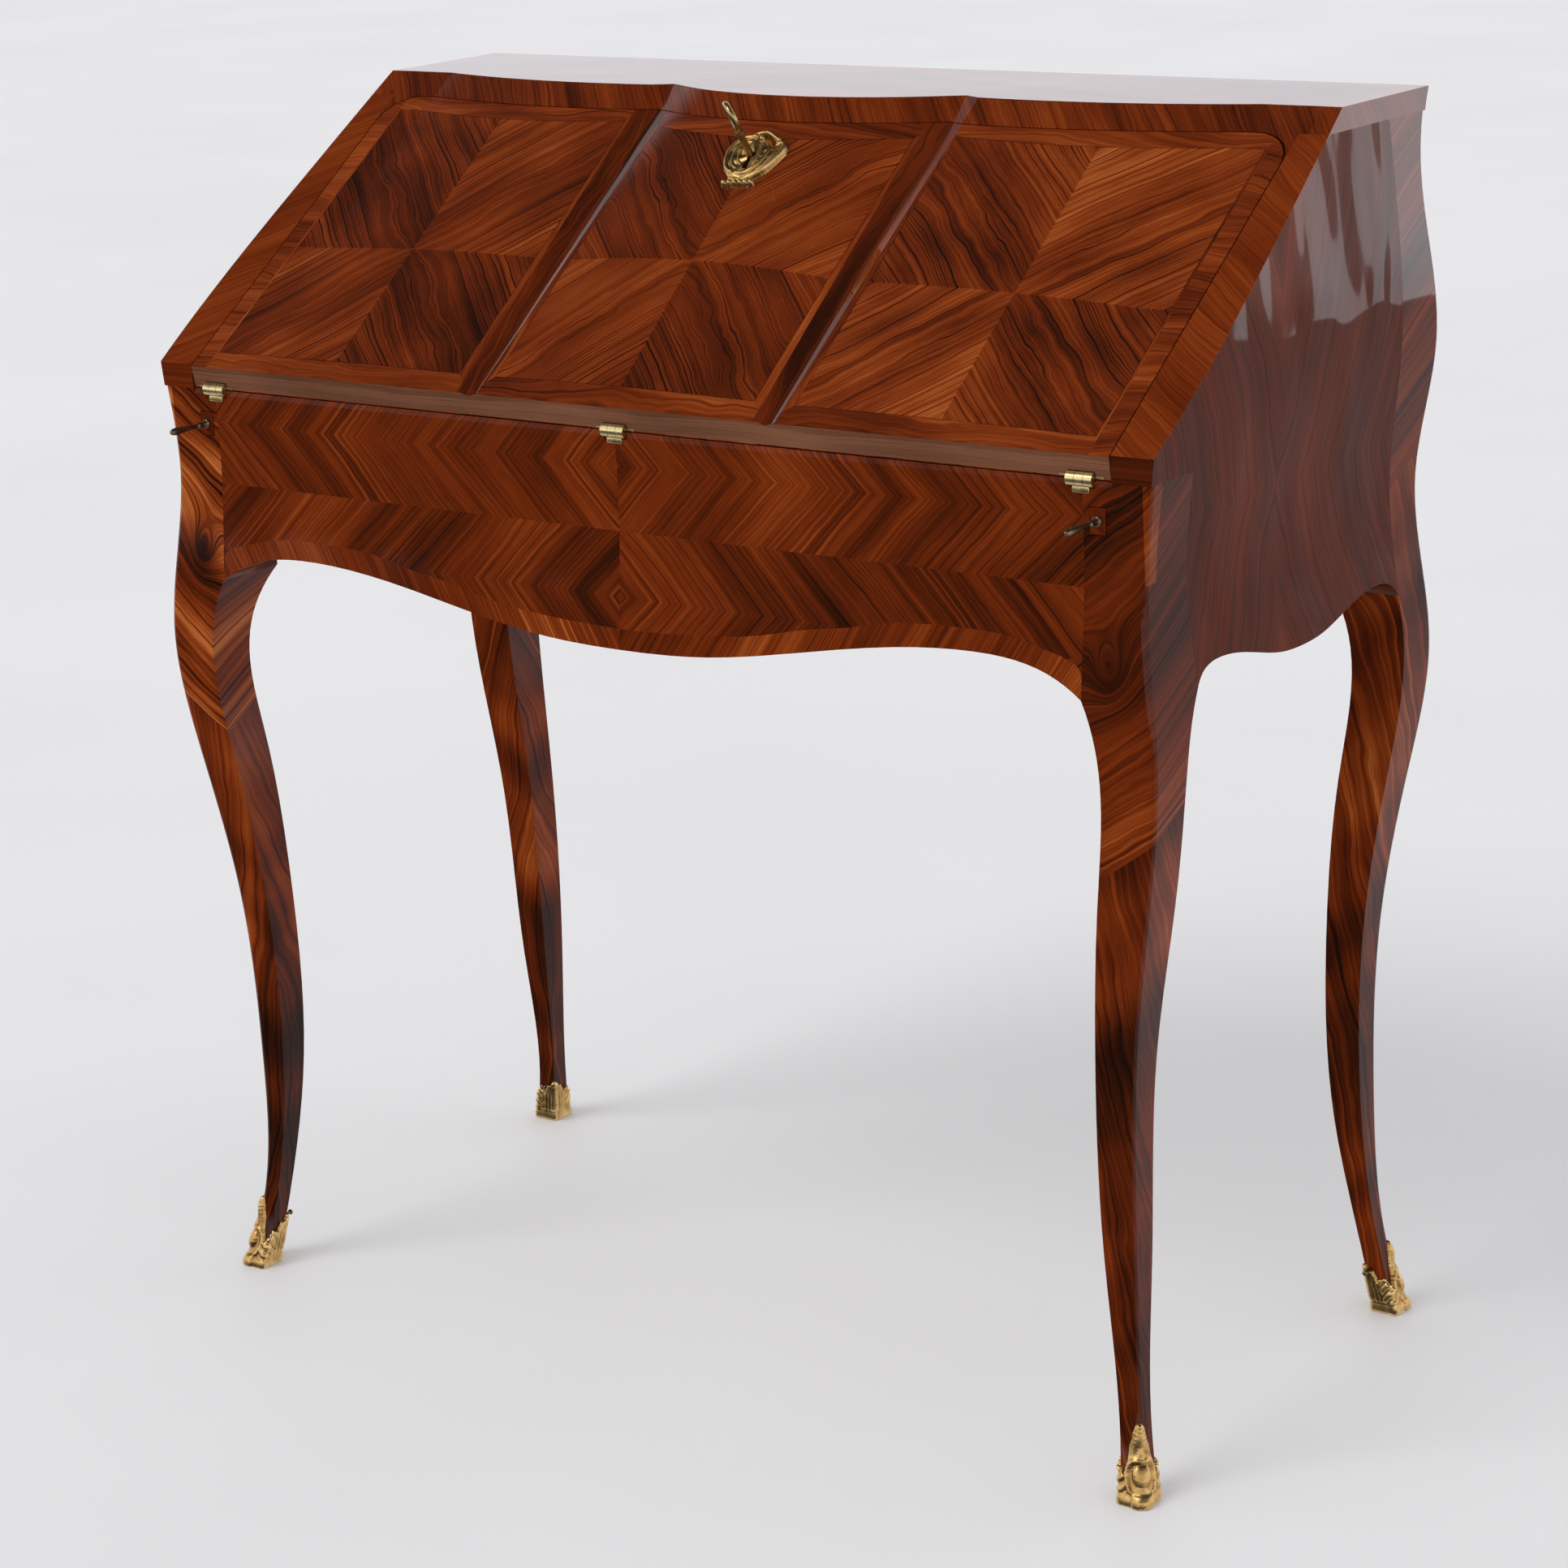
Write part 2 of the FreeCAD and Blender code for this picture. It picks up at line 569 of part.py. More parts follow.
def sabot_shape(slab, inner, forward):
    """Bronze foot: a thin shell round the foot of the leg, its top cut to leaves between notches."""
    shell = leg_shape(slab, inner, d.sabot_wall, 0, total_height)
    shell = shell.cut(leg_shape(slab, inner, 0, d.sabot_sole, total_height))
    ankle = shell.common(wall_room(d.sabot_notch, d.sabot_tip)).BoundBox
    depth = (ankle.YMin, ankle.YMax) if forward else (ankle.YMax, ankle.YMin)
    shell = shell.cut(leaf_room(ankle.XMax, ankle.XMin, across_front(-REACH), Y_AXIS))
    return shell.cut(leaf_room(*depth, lambda along, up: Vector(-REACH, along, up), X_AXIS))


def nail_shape(sabot, way):
    """A round-headed nail driven through a face of the sabot; way points out of that face."""
    foot = sabot.common(wall_room(d.nail_height, d.sabot_back)).BoundBox.Center
    start = Vector(foot.x, foot.y, d.nail_height)
    seat = max((v.Point for v in sabot.common(Part.makeLine(start, start + way * REACH)).Vertexes),
               key=lambda point: point.dot(way))
    head = Part.makeCone(d.nail_head, d.nail_shank, d.nail_rise, seat, way)
    return head.fuse(Part.makeCylinder(d.nail_shank, d.nail_length, seat, -way))


LEG_MAKERS = {"front": (front_slab, front - d.post_depth, True, bed_top),
              "rear": (rear_slab, rear_post_front, False, top_under)}
nails = []
for end, (slab, inner, forward, top) in LEG_MAKERS.items():
    leg = leg_shape(slab, inner, 0, d.sabot_sole, top)
    if forward:
        for tool in top_of_apron + [loper_room(1)]:
            leg = leg.cut(tool)
    else:
        leg = leg.cut(block((0, -REACH, d.hinge_height - d.bottom_drop), (inside, back_face, total_height)))
    sabot = sabot_shape(slab, inner, forward)
    for way in (-X_AXIS, Y_AXIS if forward else -Y_AXIS):
        nail = nail_shape(sabot, way)
        leg = leg.cut(nail)
        sabot = sabot.cut(nail)
        nails += [nail, mirrored(nail)]
    feature(f"{end}_right_leg", leg)
    feature(f"{end}_left_leg", mirrored(leg))
    feature(f"{end}_right_sabot", sabot)
    feature(f"{end}_left_sabot", mirrored(sabot))
feature("sabot_nails", Part.makeCompound(nails))


# Aprons, sides, back and floor of the case


def lower_edge(middle, half, pendant_drop, arch_drop, place):
    """Points of a shaped lower edge: a pendant between two arches; place makes a point of two numbers."""
    pendant, arch = d.hinge_height - pendant_drop, d.hinge_height - arch_drop
    right = [(middle + half, arch_foot)]
    right += [(middle + share * half, pendant + rise * (arch - pendant))
              for share, rise in LOWER_EDGE_SHARES]
    left = [(2 * middle - across, up) for across, up in reversed(right[:-1])]
    return [place(across, up) for across, up in right + left]


def shaped_panel(points, corners, direction):
    """A panel with a shaped lower edge and straight sides."""
    edges = [spline(points)]
    chain = [points[-1]] + corners + [points[0]]
    edges += [Part.makeLine(a, b) for a, b in zip(chain, chain[1:])]
    return prism(edges, direction)


apron = shaped_panel(lower_edge(0, post, d.pendant_drop, d.arch_drop, across_front(-REACH)),
                     [Vector(-post, -REACH, bed_top), Vector(post, -REACH, bed_top)],
                     Vector(0, 2 * REACH, 0))
apron = apron.common(front_slab(-apron_inner))
for tool in top_of_apron:
    apron = apron.cut(tool)
feature("front_apron", apron)

back = shaped_panel(lower_edge(0, post, d.pendant_drop, d.arch_drop, across_front(back_face)),
                    [Vector(-post, back_face, top_under), Vector(post, back_face, top_under)],
                    Vector(0, d.back_thickness, 0))
feature("back_panel", back)

side_middle = (front_post_back + rear_post_front) / 2
side_half = (rear_post_front - front_post_back) / 2
brow_under = hinge + normal * fall_edge + uphill * joint_place()
side = shaped_panel(lower_edge(side_middle, side_half, d.side_pendant_drop, d.side_arch_drop,
                               lambda along, up: Vector(0, along, up)),
                    [Vector(0, front_post_back, bed_top), Vector(0, beak.y, bed_top), beak,
                     Vector(0, brow_under.y, top_under), Vector(0, rear_post_front, top_under)],
                    Vector(REACH, 0, 0))
side = side.common(side_slab(inside))
feature("right_side", side)
feature("left_side", mirrored(side))

post_rooms = [board("left_post_room", ("-dims.half_width", f"-{FRONT}", ARCH_FOOT),
                    (f"-{POST}", f"dims.post_depth - {FRONT}", "dims.hinge_height")),
              board("right_post_room", (POST, f"-{FRONT}", ARCH_FOOT),
                    ("dims.half_width", f"dims.post_depth - {FRONT}", "dims.hinge_height"))]
floor = board("floor_board", (f"-{INSIDE}", f"dims.apron_back - {FRONT}", BOTTOM),
              (INSIDE, BACK, FLOOR))
publish(cut("floor", floor, post_rooms), "case_bottom")

WELL_FRONT = f"(dims.apron_back - {FRONT} + dims.well_front)"
bed = board("bed_board", (f"-{INSIDE}", f"dims.apron_back - {FRONT}", BED_UNDER), (INSIDE, BACK, BED))
well_mouth = board("well_mouth", ("-dims.well_half_width", WELL_FRONT, f"{BED_UNDER} - dims.overrun"),
                   ("dims.well_half_width", f"{WELL_FRONT} + dims.well_length", f"{BED} + dims.overrun"))
publish(cut("bed", bed, post_rooms + [well_mouth]), "writing_bed")


# Well: two cheeks grooved for the sliding lid, and a back

LID_LOW = f"({BED_UNDER} - dims.lid_thickness - dims.lid_clearance)"
WELL_BACK = f"({WELL_FRONT} + dims.well_length)"
LID_EDGE = "(dims.well_half_width + dims.cheek_groove - dims.lid_clearance)"
CHEEK_BACK = f"({BACK} - dims.cheek_back_gap)"
CHEEK_OUTER = "(dims.well_half_width + dims.cheek_thickness)"
cheeks = [board("left_cheek", (f"-{CHEEK_OUTER}", f"dims.apron_back - {FRONT}", FLOOR),
                ("-dims.well_half_width", CHEEK_BACK, BED_UNDER)),
          board("right_cheek", ("dims.well_half_width", f"dims.apron_back - {FRONT}", FLOOR),
                (CHEEK_OUTER, CHEEK_BACK, BED_UNDER))]
GROOVE_EDGE = "(dims.well_half_width + dims.cheek_groove)"
groove = board("lid_groove", (f"-{GROOVE_EDGE}", f"dims.apron_back - {FRONT} - dims.overrun",
                              f"{LID_LOW} - dims.lid_clearance"),
               (GROOVE_EDGE, f"{CHEEK_BACK} + dims.overrun", f"{BED_UNDER} + dims.overrun"))
pair = doc.addObject("Part::MultiFuse", "cheek_pair")
pair.Shapes = cheeks
publish(cut("cheeks", pair, [groove]), "well_cheeks")
publish(board("well_back_board", ("-dims.well_half_width", WELL_BACK, FLOOR),
              ("dims.well_half_width", f"{WELL_BACK} + dims.cheek_thickness",
               f"{LID_LOW} - dims.lid_clearance")), "well_back")
lid = board("lid_board", (f"-{LID_EDGE}", f"dims.apron_back - {FRONT} + dims.lid_clearance", LID_LOW),
            (LID_EDGE, f"{WELL_BACK} + dims.cheek_thickness", f"{LID_LOW} + dims.lid_thickness"))
finger = doc.addObject("Part::Cylinder", "finger_hole")
finger.setExpression("Radius", "dims.finger_radius")
finger.setExpression("Height", "3 * dims.lid_thickness")
finger.setExpression("Placement.Base.y", f"{WELL_FRONT} + dims.finger_place")
finger.setExpression("Placement.Base.z", f"{LID_LOW} - dims.lid_thickness")
publish(cut("lid", lid, [finger]), "well_lid")


# Nest of drawers and pigeonholes at the back of the writing bed

NEST_FRONT = f"({BACK} - dims.nest_depth)"
publish(board("drawer_shelf_board", (f"-{INSIDE}", NEST_FRONT, SHELF),
              (INSIDE, BACK, f"{SHELF} + dims.shelf_thickness")), "drawer_shelf")
publish(board("upper_shelf_board", (f"-{INSIDE}", NEST_FRONT, UPPER_SHELF),
              (INSIDE, BACK, UPPER_SHELF_TOP)), "upper_shelf")


def row_of_dividers(name, count, low, high, setback):
    """Upright boards that part a row into equal cells."""
    pieces = []
    for number in range(1, count):
        start = (f"-{INSIDE} + {number} * (2 * {INSIDE} - {count - 1} * dims.divider_thickness) / {count}"
                 f" + {number - 1} * dims.divider_thickness")
        pieces.append(board(f"{name}_{number}", (start, f"{NEST_FRONT} + {setback}", low),
                            (f"{start} + dims.divider_thickness", BACK, high)))
    group = doc.addObject("Part::Compound", f"{name}_row")
    group.Links = pieces
    return publish(group, name)


row_of_dividers("drawer_dividers", DRAWER_COUNT, BED, SHELF, "0")
row_of_dividers("pigeonhole_dividers", PIGEONHOLE_COUNT, f"{SHELF} + dims.shelf_thickness",
                UPPER_SHELF, "dims.pigeonhole_setback")

for number, name in enumerate(("left", "middle", "right")):
    start = f"(-{INSIDE} + {number} * ({CELL} + dims.divider_thickness) + dims.drawer_gap)"
    stop = f"({start} + {CELL} - 2 * dims.drawer_gap)"
    low, high = f"({BED} + dims.bed_gap / 2)", f"({SHELF} - dims.drawer_gap)"
    inner = f"({NEST_FRONT} + dims.drawer_front)"
    publish(board(f"{name}_drawer_front_board", (start, NEST_FRONT, low), (stop, inner, high)),
            f"{name}_drawer_front")
    tray = board(f"{name}_drawer_block", (start, inner, low), (stop, f"{BACK} - dims.drawer_slack", high))
    hollow = board(f"{name}_drawer_hollow",
                   (f"{start} + dims.drawer_wall", inner, f"{low} + dims.drawer_floor"),
                   (f"{stop} - dims.drawer_wall", f"{BACK} - dims.drawer_slack - dims.drawer_wall",
                    f"{high} + dims.overrun"))
    publish(cut(f"{name}_drawer", tray, [hollow]), f"{name}_drawer_tray")
    cell = (2 * inside - (DRAWER_COUNT - 1) * d.divider_thickness) / DRAWER_COUNT
    middle = -inside + number * (cell + d.divider_thickness) + cell / 2
    turned(f"{name}_knob_body", f"{name}_drawer_knob",
           knob_profile(KNOB_SHARES, d.drawer_knob_radius, d.drawer_knob_length),
           Vector(middle, back_face - d.nest_depth, bed_top + d.drawer_height / 2), FORWARD)


# Top board, front rail and stops

top_board = block((-REACH, -REACH, top_under), (REACH, REACH, total_height))
top_board = top_board.common(rear_slab(-REACH)).common(in_fall(crossbow()))
top_board = top_board.common(side_slab(-REACH)).common(mirrored(side_slab(-REACH)))
feature("top_board", top_board)

fall_room = prism(fall_outline(inside, 0), Vector(0, 0, REACH))
fall_room.translate(Vector(0, 0, -d.stop_gap))
lip_room = prism(fall_outline(inside, d.rail_lip), Vector(0, 0, REACH))
lip_room.translate(Vector(0, 0, -d.overrun))
rail_low = min(middle_top, joint_place() - d.fall_corner) - d.rail_lip
rail = block((-inside, rail_low, -d.rail_depth), (inside, fall_length, REACH))
rail = rail.common(crossbow()).cut(fall_room).cut(lip_room)
bolt_low = d.lock_depth - d.lock_wall - d.bolt_clearance - d.bolt_thickness
bolt_high = d.lock_depth - d.lock_wall - d.bolt_clearance
strike_face = middle_top + d.strike_room
strike = block((-d.strike_half_width, strike_face, bolt_low - 2 * d.bolt_clearance - d.strike_thickness),
               (d.strike_half_width, strike_face + d.strike_thickness,
                bolt_high + 2 * d.bolt_clearance + d.strike_thickness))
bolt_room = block((-d.bolt_half_width - d.bolt_clearance, middle_top - d.lock_length,
                   bolt_low - d.bolt_clearance),
                  (d.bolt_half_width + d.bolt_clearance, strike_face + d.strike_thickness + d.bolt_throw,
                   bolt_high + d.bolt_clearance))
strike_room = block((-d.strike_half_width, middle_top - d.strike_room, strike.BoundBox.ZMin),
                    (d.strike_half_width, strike.BoundBox.YMax, strike.BoundBox.ZMax))
rail = in_fall(rail.cut(strike_room).cut(bolt_room)).common(wall_room(0, top_under))
feature("front_rail", rail)
feature("lock_strike", strike.cut(bolt_room), fall_frame)

stop = block((inside - d.stop_width, d.stop_low, -d.stop_gap - d.stop_thickness),
             (inside, d.stop_low + d.stop_length, -d.stop_gap))
feature("fall_stops", Part.makeCompound([stop, mirrored(stop)]), fall_frame)


# Fall, its leather, lock, escutcheon and key

lock_top = middle_top - d.fall_joint_gap - d.lock_setback
lock_box = block((-d.lock_half_width, lock_top - d.lock_length, 0),
                 (d.lock_half_width, lock_top, d.lock_depth))
lock_hollow = block((-d.lock_half_width + d.lock_wall, lock_top - d.lock_length + d.lock_wall, d.lock_wall),
                    (d.lock_half_width - d.lock_wall, lock_top - d.lock_wall, d.lock_depth - d.lock_wall))
key_axis = Vector(0, key_place, 0)
key_room = Part.makeCylinder(d.key_radius + d.key_clearance, REACH, key_axis + Z_AXIS * d.lock_wall, Z_AXIS)
bit_half = d.bit_thickness / 2 + d.key_clearance
bit_room = block((-bit_half, key_place - d.bit_length - d.key_radius - d.key_clearance, d.lock_wall),
                 (bit_half, key_place, REACH))
keyhole = key_room.fuse(bit_room)
feature("lock_case", lock_box.cut(lock_hollow).cut(keyhole).cut(bolt_room), fall_frame)

fall = prism(fall_outline(inside - d.fall_side_gap, d.fall_joint_gap), Vector(0, 0, REACH))
fall = fall.common(crossbow())
foot = d.fall_foot_gap
bevel = prism(polygon([Vector(-REACH, foot - d.overrun * tilt, -d.overrun),
                       Vector(-REACH, foot + d.overrun * tilt, d.overrun),
                       Vector(-REACH, -2 * d.overrun, d.overrun),
                       Vector(-REACH, -2 * d.overrun, -d.overrun)]), Vector(2 * REACH, 0, 0))
leather_half = inside - d.fall_side_gap - d.leather_side
leather = block((-leather_half, d.leather_foot, 0),
                (leather_half, lock_top - d.lock_length - d.leather_lock_gap, d.leather_thickness))
fall = fall.cut(bevel).cut(leather).cut(lock_box).cut(keyhole).cut(bolt_room)
for tool in at_hinges(barrel_room_shape()) + at_hinges(fall_leaf) + fall_screws:
    fall = fall.cut(tool)
feature("fall_board", fall, fall_frame)
feature("writing_leather", leather, fall_frame)

bolt = block((-d.bolt_half_width, lock_top - d.bolt_length, bolt_low),
             (d.bolt_half_width, lock_top, bolt_high))
feature("lock_bolt", bolt, fall_frame)


def plate_wire():
    """Frilled outline of the escutcheon round the keyhole."""
    points = []
    steps = 8 * PLATE_LOBES
    for step in range(steps):
        turn = 2 * math.pi * step / steps
        radius = d.plate_radius + d.plate_frill * math.cos(PLATE_LOBES * turn)
        rise = PLATE_STRETCH_SHARE * radius * math.sin(turn)
        points.append(Vector(radius * math.cos(turn), key_place + rise, 0))
    curve = Part.BSplineCurve()
    curve.interpolate(points, PeriodicFlag=True)
    return Part.Wire([curve.toShape()])


plate = Part.Face(plate_wire()).extrude(Vector(0, 0, REACH))
plate = plate.common(crossbow(d.plate_thickness)).cut(crossbow()).cut(keyhole)
feature("escutcheon", plate, fall_frame)

key_low = d.lock_wall + d.bolt_clearance
bow_place = key_swell + d.key_reach + d.bow_radius
shank = Part.makeCylinder(d.key_radius, bow_place - d.bow_radius - key_low,
                          key_axis + Z_AXIS * key_low, Z_AXIS)
collar = Part.makeCylinder(d.collar_radius, d.collar_length,
                           key_axis + Z_AXIS * (bow_place - d.bow_radius - 2 * d.collar_length), Z_AXIS)
bow = Part.makeTorus(d.bow_radius, d.bow_wire, key_axis + Z_AXIS * bow_place, X_AXIS)
bit = block((-d.bit_thickness / 2, key_place - d.bit_length - d.key_radius, key_low),
            (d.bit_thickness / 2, key_place, key_low + d.bit_width))
key = shank.fuse(collar).fuse(bow).fuse(bit).removeSplitter()
key.rotate(key_axis, Z_AXIS, KEY_TURN_DEGREES)
feature("key", in_fall(key))


# Check every object, then write one file for each sub-part

doc.recompute()
for item in doc.Objects:
    if "Invalid" in item.State or "Error" in item.State:
        raise RuntimeError(f"{item.Name} failed to rebuild")
os.makedirs("parts", exist_ok=True)
for label, piece in nodes.items():
    if piece.Shape.isNull() or not piece.Shape.isValid():
        raise RuntimeError(f"{label} has no valid shape")
for label, piece in nodes.items():
    piece.Shape.exportStep(f"parts/{label}.step")
print(len(nodes), "sub-parts written")
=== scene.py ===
import json
import math

import bmesh
import bpy
from mathutils import Matrix, Vector


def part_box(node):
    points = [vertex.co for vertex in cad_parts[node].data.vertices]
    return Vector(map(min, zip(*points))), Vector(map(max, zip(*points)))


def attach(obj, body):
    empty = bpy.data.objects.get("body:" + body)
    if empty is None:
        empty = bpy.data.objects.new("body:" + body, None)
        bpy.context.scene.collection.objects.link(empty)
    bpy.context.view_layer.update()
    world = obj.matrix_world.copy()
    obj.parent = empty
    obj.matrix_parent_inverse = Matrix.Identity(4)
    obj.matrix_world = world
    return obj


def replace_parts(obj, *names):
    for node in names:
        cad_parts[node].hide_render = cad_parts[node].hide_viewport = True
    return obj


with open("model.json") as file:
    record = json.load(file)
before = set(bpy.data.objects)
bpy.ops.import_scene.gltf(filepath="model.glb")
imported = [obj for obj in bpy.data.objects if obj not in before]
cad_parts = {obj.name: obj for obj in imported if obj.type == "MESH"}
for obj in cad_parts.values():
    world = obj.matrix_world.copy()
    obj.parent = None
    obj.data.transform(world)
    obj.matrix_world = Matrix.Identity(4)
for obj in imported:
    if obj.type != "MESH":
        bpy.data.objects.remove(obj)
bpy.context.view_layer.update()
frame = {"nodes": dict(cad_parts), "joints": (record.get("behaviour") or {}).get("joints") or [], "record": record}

# Slant-front desk in quarter-matched rosewood veneer with gilt-bronze mounts. Metres, in the CAD frame.

MM = 0.001
nodes = frame["nodes"]
joints = {joint["name"]: joint for joint in frame["joints"]}

# Places that the veneer follows, read from the frame
fall_axis = Vector(joints["fall_hinge"]["pos_m"])
fall_normal = Vector(joints["key_turn"]["axis"])
uphill = Vector(joints["bolt_slide"]["axis"])
key_point = Vector(joints["key_turn"]["pos_m"])
fall_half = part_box("fall_board")[1].x
post_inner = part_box("front_apron")[1].x
side_low, side_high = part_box("right_side")
top_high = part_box("top_board")[1]

# The crossbow fall: places across the desk, then how far up the slope its top edge and grooves lie
VALLEY, SWELL_END = 132.0 * MM, 365.0 * MM
MIDDLE_TOP, VALLEY_TOP, OUTER_TOP, FLAT_TOP = 275.1 * MM, 305.1 * MM, 297.9 * MM, 316.2 * MM
FALL_LENGTH = 344.4 * MM
GROOVE_LOW, GROOVE_HIGH = 9.0 * MM, 16.0 * MM
outer_centre = (VALLEY + fall_half) / 2
outer_half = (fall_half - VALLEY) / 2

# Arithmetic on shader sockets


class Term:
    """A number that varies over a surface, with the usual arithmetic."""

    def __init__(self, graph, socket):
        self.graph = graph
        self.socket = socket

    def join(self, operation, *others):
        node = self.graph.tree.nodes.new("ShaderNodeMath")
        node.operation = operation
        for slot, value in zip(node.inputs, (self,) + others):
            self.graph.feed(slot, value)
        return Term(self.graph, node.outputs[0])

    def __add__(self, other):
        return self.join("ADD", other)

    __radd__ = __add__

    def __sub__(self, other):
        return self.join("SUBTRACT", other)

    def __rsub__(self, other):
        return self.join("MULTIPLY", -1) + other

    def __mul__(self, other):
        return self.join("MULTIPLY", other)

    __rmul__ = __mul__

    def __truediv__(self, other):
        return self.join("DIVIDE", other)

    def __abs__(self):
        return self.join("ABSOLUTE")

    def __lt__(self, other):
        return self.join("LESS_THAN", other)

    def __gt__(self, other):
        return self.join("GREATER_THAN", other)

    def least(self, other):
        return self.join("MINIMUM", other)

    def most(self, other):
        return self.join("MAXIMUM", other)

    def sign(self):
        return self.join("SIGN")

    def fold(self, span):
        return self.join("PINGPONG", span)

    def above(self, level):
        """How far it is over a level, or 0 below that."""
        return (self - level).most(0.0)

    def inverse(self):
        return self.join("POWER", -1.0)


# A clear coat of French polish: it mirrors little face on and much at a glancing angle
COAT_IOR, COAT_ROUGH = 1.3, 0.045
# Value of Pointiness on a flat surface
FLAT_POINTINESS = 0.5


class Graph:
    """The node tree of one material."""

    def __init__(self, name):
        self.material = bpy.data.materials.new(name)
        self.material.use_nodes = True
        self.tree = self.material.node_tree
        self.shader = self.tree.nodes["Principled BSDF"]
        place = self.tree.nodes.new("ShaderNodeTexCoord")
        parts = self.tree.nodes.new("ShaderNodeSeparateXYZ")
        self.tree.links.new(place.outputs["Object"], parts.inputs[0])
        self.x, self.y, self.z = (Term(self, output) for output in parts.outputs)

    def feed(self, slot, value):
        if isinstance(value, Term):
            self.tree.links.new(value.socket, slot)
        else:
            slot.default_value = value

    def toward(self, direction):
        """Place along a direction, with the two sides of the desk mirrored."""
        x, y, z = direction
        return abs(self.x) * x + self.y * y + self.z * z

    def point(self, *values):
        node = self.tree.nodes.new("ShaderNodeCombineXYZ")
        for slot, value in zip(node.inputs, values):
            self.feed(slot, value)
        return Term(self, node.outputs[0])

    def noise(self, values, detail=2.0, rough=0.5, scale=1.0):
        node = self.tree.nodes.new("ShaderNodeTexNoise")
        self.feed(node.inputs["Vector"], self.point(*values))
        node.inputs["Scale"].default_value = scale
        node.inputs["Detail"].default_value = detail
        node.inputs["Roughness"].default_value = rough
        return Term(self, node.outputs[0])

    def lines(self, value, detail, rough=0.5):
        """Noise that changes along one value only."""
        node = self.tree.nodes.new("ShaderNodeTexNoise")
        node.noise_dimensions = "1D"
        self.feed(node.inputs["W"], value)
        node.inputs["Scale"].default_value = 1.0
        node.inputs["Detail"].default_value = detail
        node.inputs["Roughness"].default_value = rough
        return Term(self, node.outputs[0])

    def hollows(self):
        """How far a spot is sunk (below 0) or raised (above 0) beside its neighbours."""
        node = self.tree.nodes.new("ShaderNodeNewGeometry")
        return Term(self, node.outputs["Pointiness"]) - FLAT_POINTINESS

    def pick(self, mask, off, on):
        """One of two numbers, by a mask of 0 and 1."""
        node = self.tree.nodes.new("ShaderNodeMix")
        self.feed(node.inputs[0], mask)
        self.feed(node.inputs[2], off)
        self.feed(node.inputs[3], on)
        return Term(self, node.outputs[0])

    def pick_colour(self, mask, off, on):
        """One of two colours, by a mask of 0 and 1."""
        node = self.tree.nodes.new("ShaderNodeMix")
        node.data_type = "RGBA"
        self.feed(node.inputs[0], mask)
        self.feed(node.inputs[6], off)
        self.feed(node.inputs[7], on)
        return Term(self, node.outputs[2])

    def ramp(self, value, stops):
        """Colour of a value, by stops of place and colour."""
        node = self.tree.nodes.new("ShaderNodeValToRGB")
        self.feed(node.inputs[0], value)
        points = node.color_ramp.elements
        while len(points) < len(stops):
            points.new(0.5)
        for point, (place, colour) in zip(points, stops):
            point.position = place
            point.color = (*colour, 1)
        return Term(self, node.outputs[0])

    def curve(self, value, points):
        """Height of a smooth curve through points, at a value."""
        node = self.tree.nodes.new("ShaderNodeFloatCurve")
        self.feed(node.inputs["Value"], value)
        line = node.mapping.curves[0]
        while len(line.points) < len(points):
            line.points.new(0.5, 0.5)
        for spot, (across, up) in zip(line.points, points):
            spot.location = (across, up)
        node.mapping.update()
        return Term(self, node.outputs[0])

    def finish(self, colour, rough, bump=None, bump_height=0.0, metallic=0.0, coat=0.0):
        """Give the shader its values; this gives the material."""
        shader = self.shader
        self.feed(shader.inputs["Base Color"], colour)
        self.feed(shader.inputs["Roughness"], rough)
        shader.inputs["Metallic"].default_value = metallic
        shader.inputs["Coat Weight"].default_value = coat
        if coat:
            shader.inputs["Specular IOR Level"].default_value = 0.0
            shader.inputs["Coat IOR"].default_value = COAT_IOR
            shader.inputs["Coat Roughness"].default_value = COAT_ROUGH
        if bump is not None:
            self.raise_by(bump, bump_height, "Normal")
        return self.material

    def raise_by(self, height, distance, slot):
        """Bend one of the shader's normals as a height of 0 to 1, times a distance, would."""
        node = self.tree.nodes.new("ShaderNodeBump")
        node.inputs["Strength"].default_value = 1.0
        node.inputs["Distance"].default_value = distance
        self.feed(node.inputs["Height"], height)
        self.tree.links.new(node.outputs[0], self.shader.inputs[slot])


# Veneers

ROSEWOOD = ((0.0, (0.011, 0.0030, 0.0012)), (0.2, (0.034, 0.0060, 0.0014)), (0.4, (0.088, 0.0128, 0.0020)),
            (0.55, (0.142, 0.0215, 0.003)), (0.75, (0.23, 0.044, 0.007)), (1.0, (0.40, 0.115, 0.026)))
WALNUT = ((0.0, (0.045, 0.018, 0.010)), (0.4, (0.115, 0.046, 0.024)), (0.7, (0.17, 0.072, 0.038)),
          (1.0, (0.23, 0.105, 0.058)))
OAK = ((0.0, (0.10, 0.050, 0.020)), (0.45, (0.21, 0.115, 0.050)), (1.0, (0.33, 0.20, 0.095)))

# Clouds in figured wood: changes per metre along and across the grain, offset of the seed, and detail
DRIFT, CLOUD, ZONE = (7.0, 13.0, 0.0, 3.0), (5.0, 16.0, 3.7, 3.0), (6.0, 10.0, 5.9, 1.0)
PATCH, PORES = (9.0, 30.0, 8.3, 2.0), (70.0, 1600.0, 0.0, 1.0)
# Its lines: changes per lane, offset, detail and roughness
BROAD, HAIR, LINE = (0.5, 0.0, 2.0, 0.5), (3.1, 11.0, 2.0, 0.6), (2.4, 70.0, 1.0, 0.5)
VEIN, STREAK = (0.62, 40.0, 2.0, 0.55), (1.9, 23.0, 1.0, 0.5)
SEED_LANES = 17.0
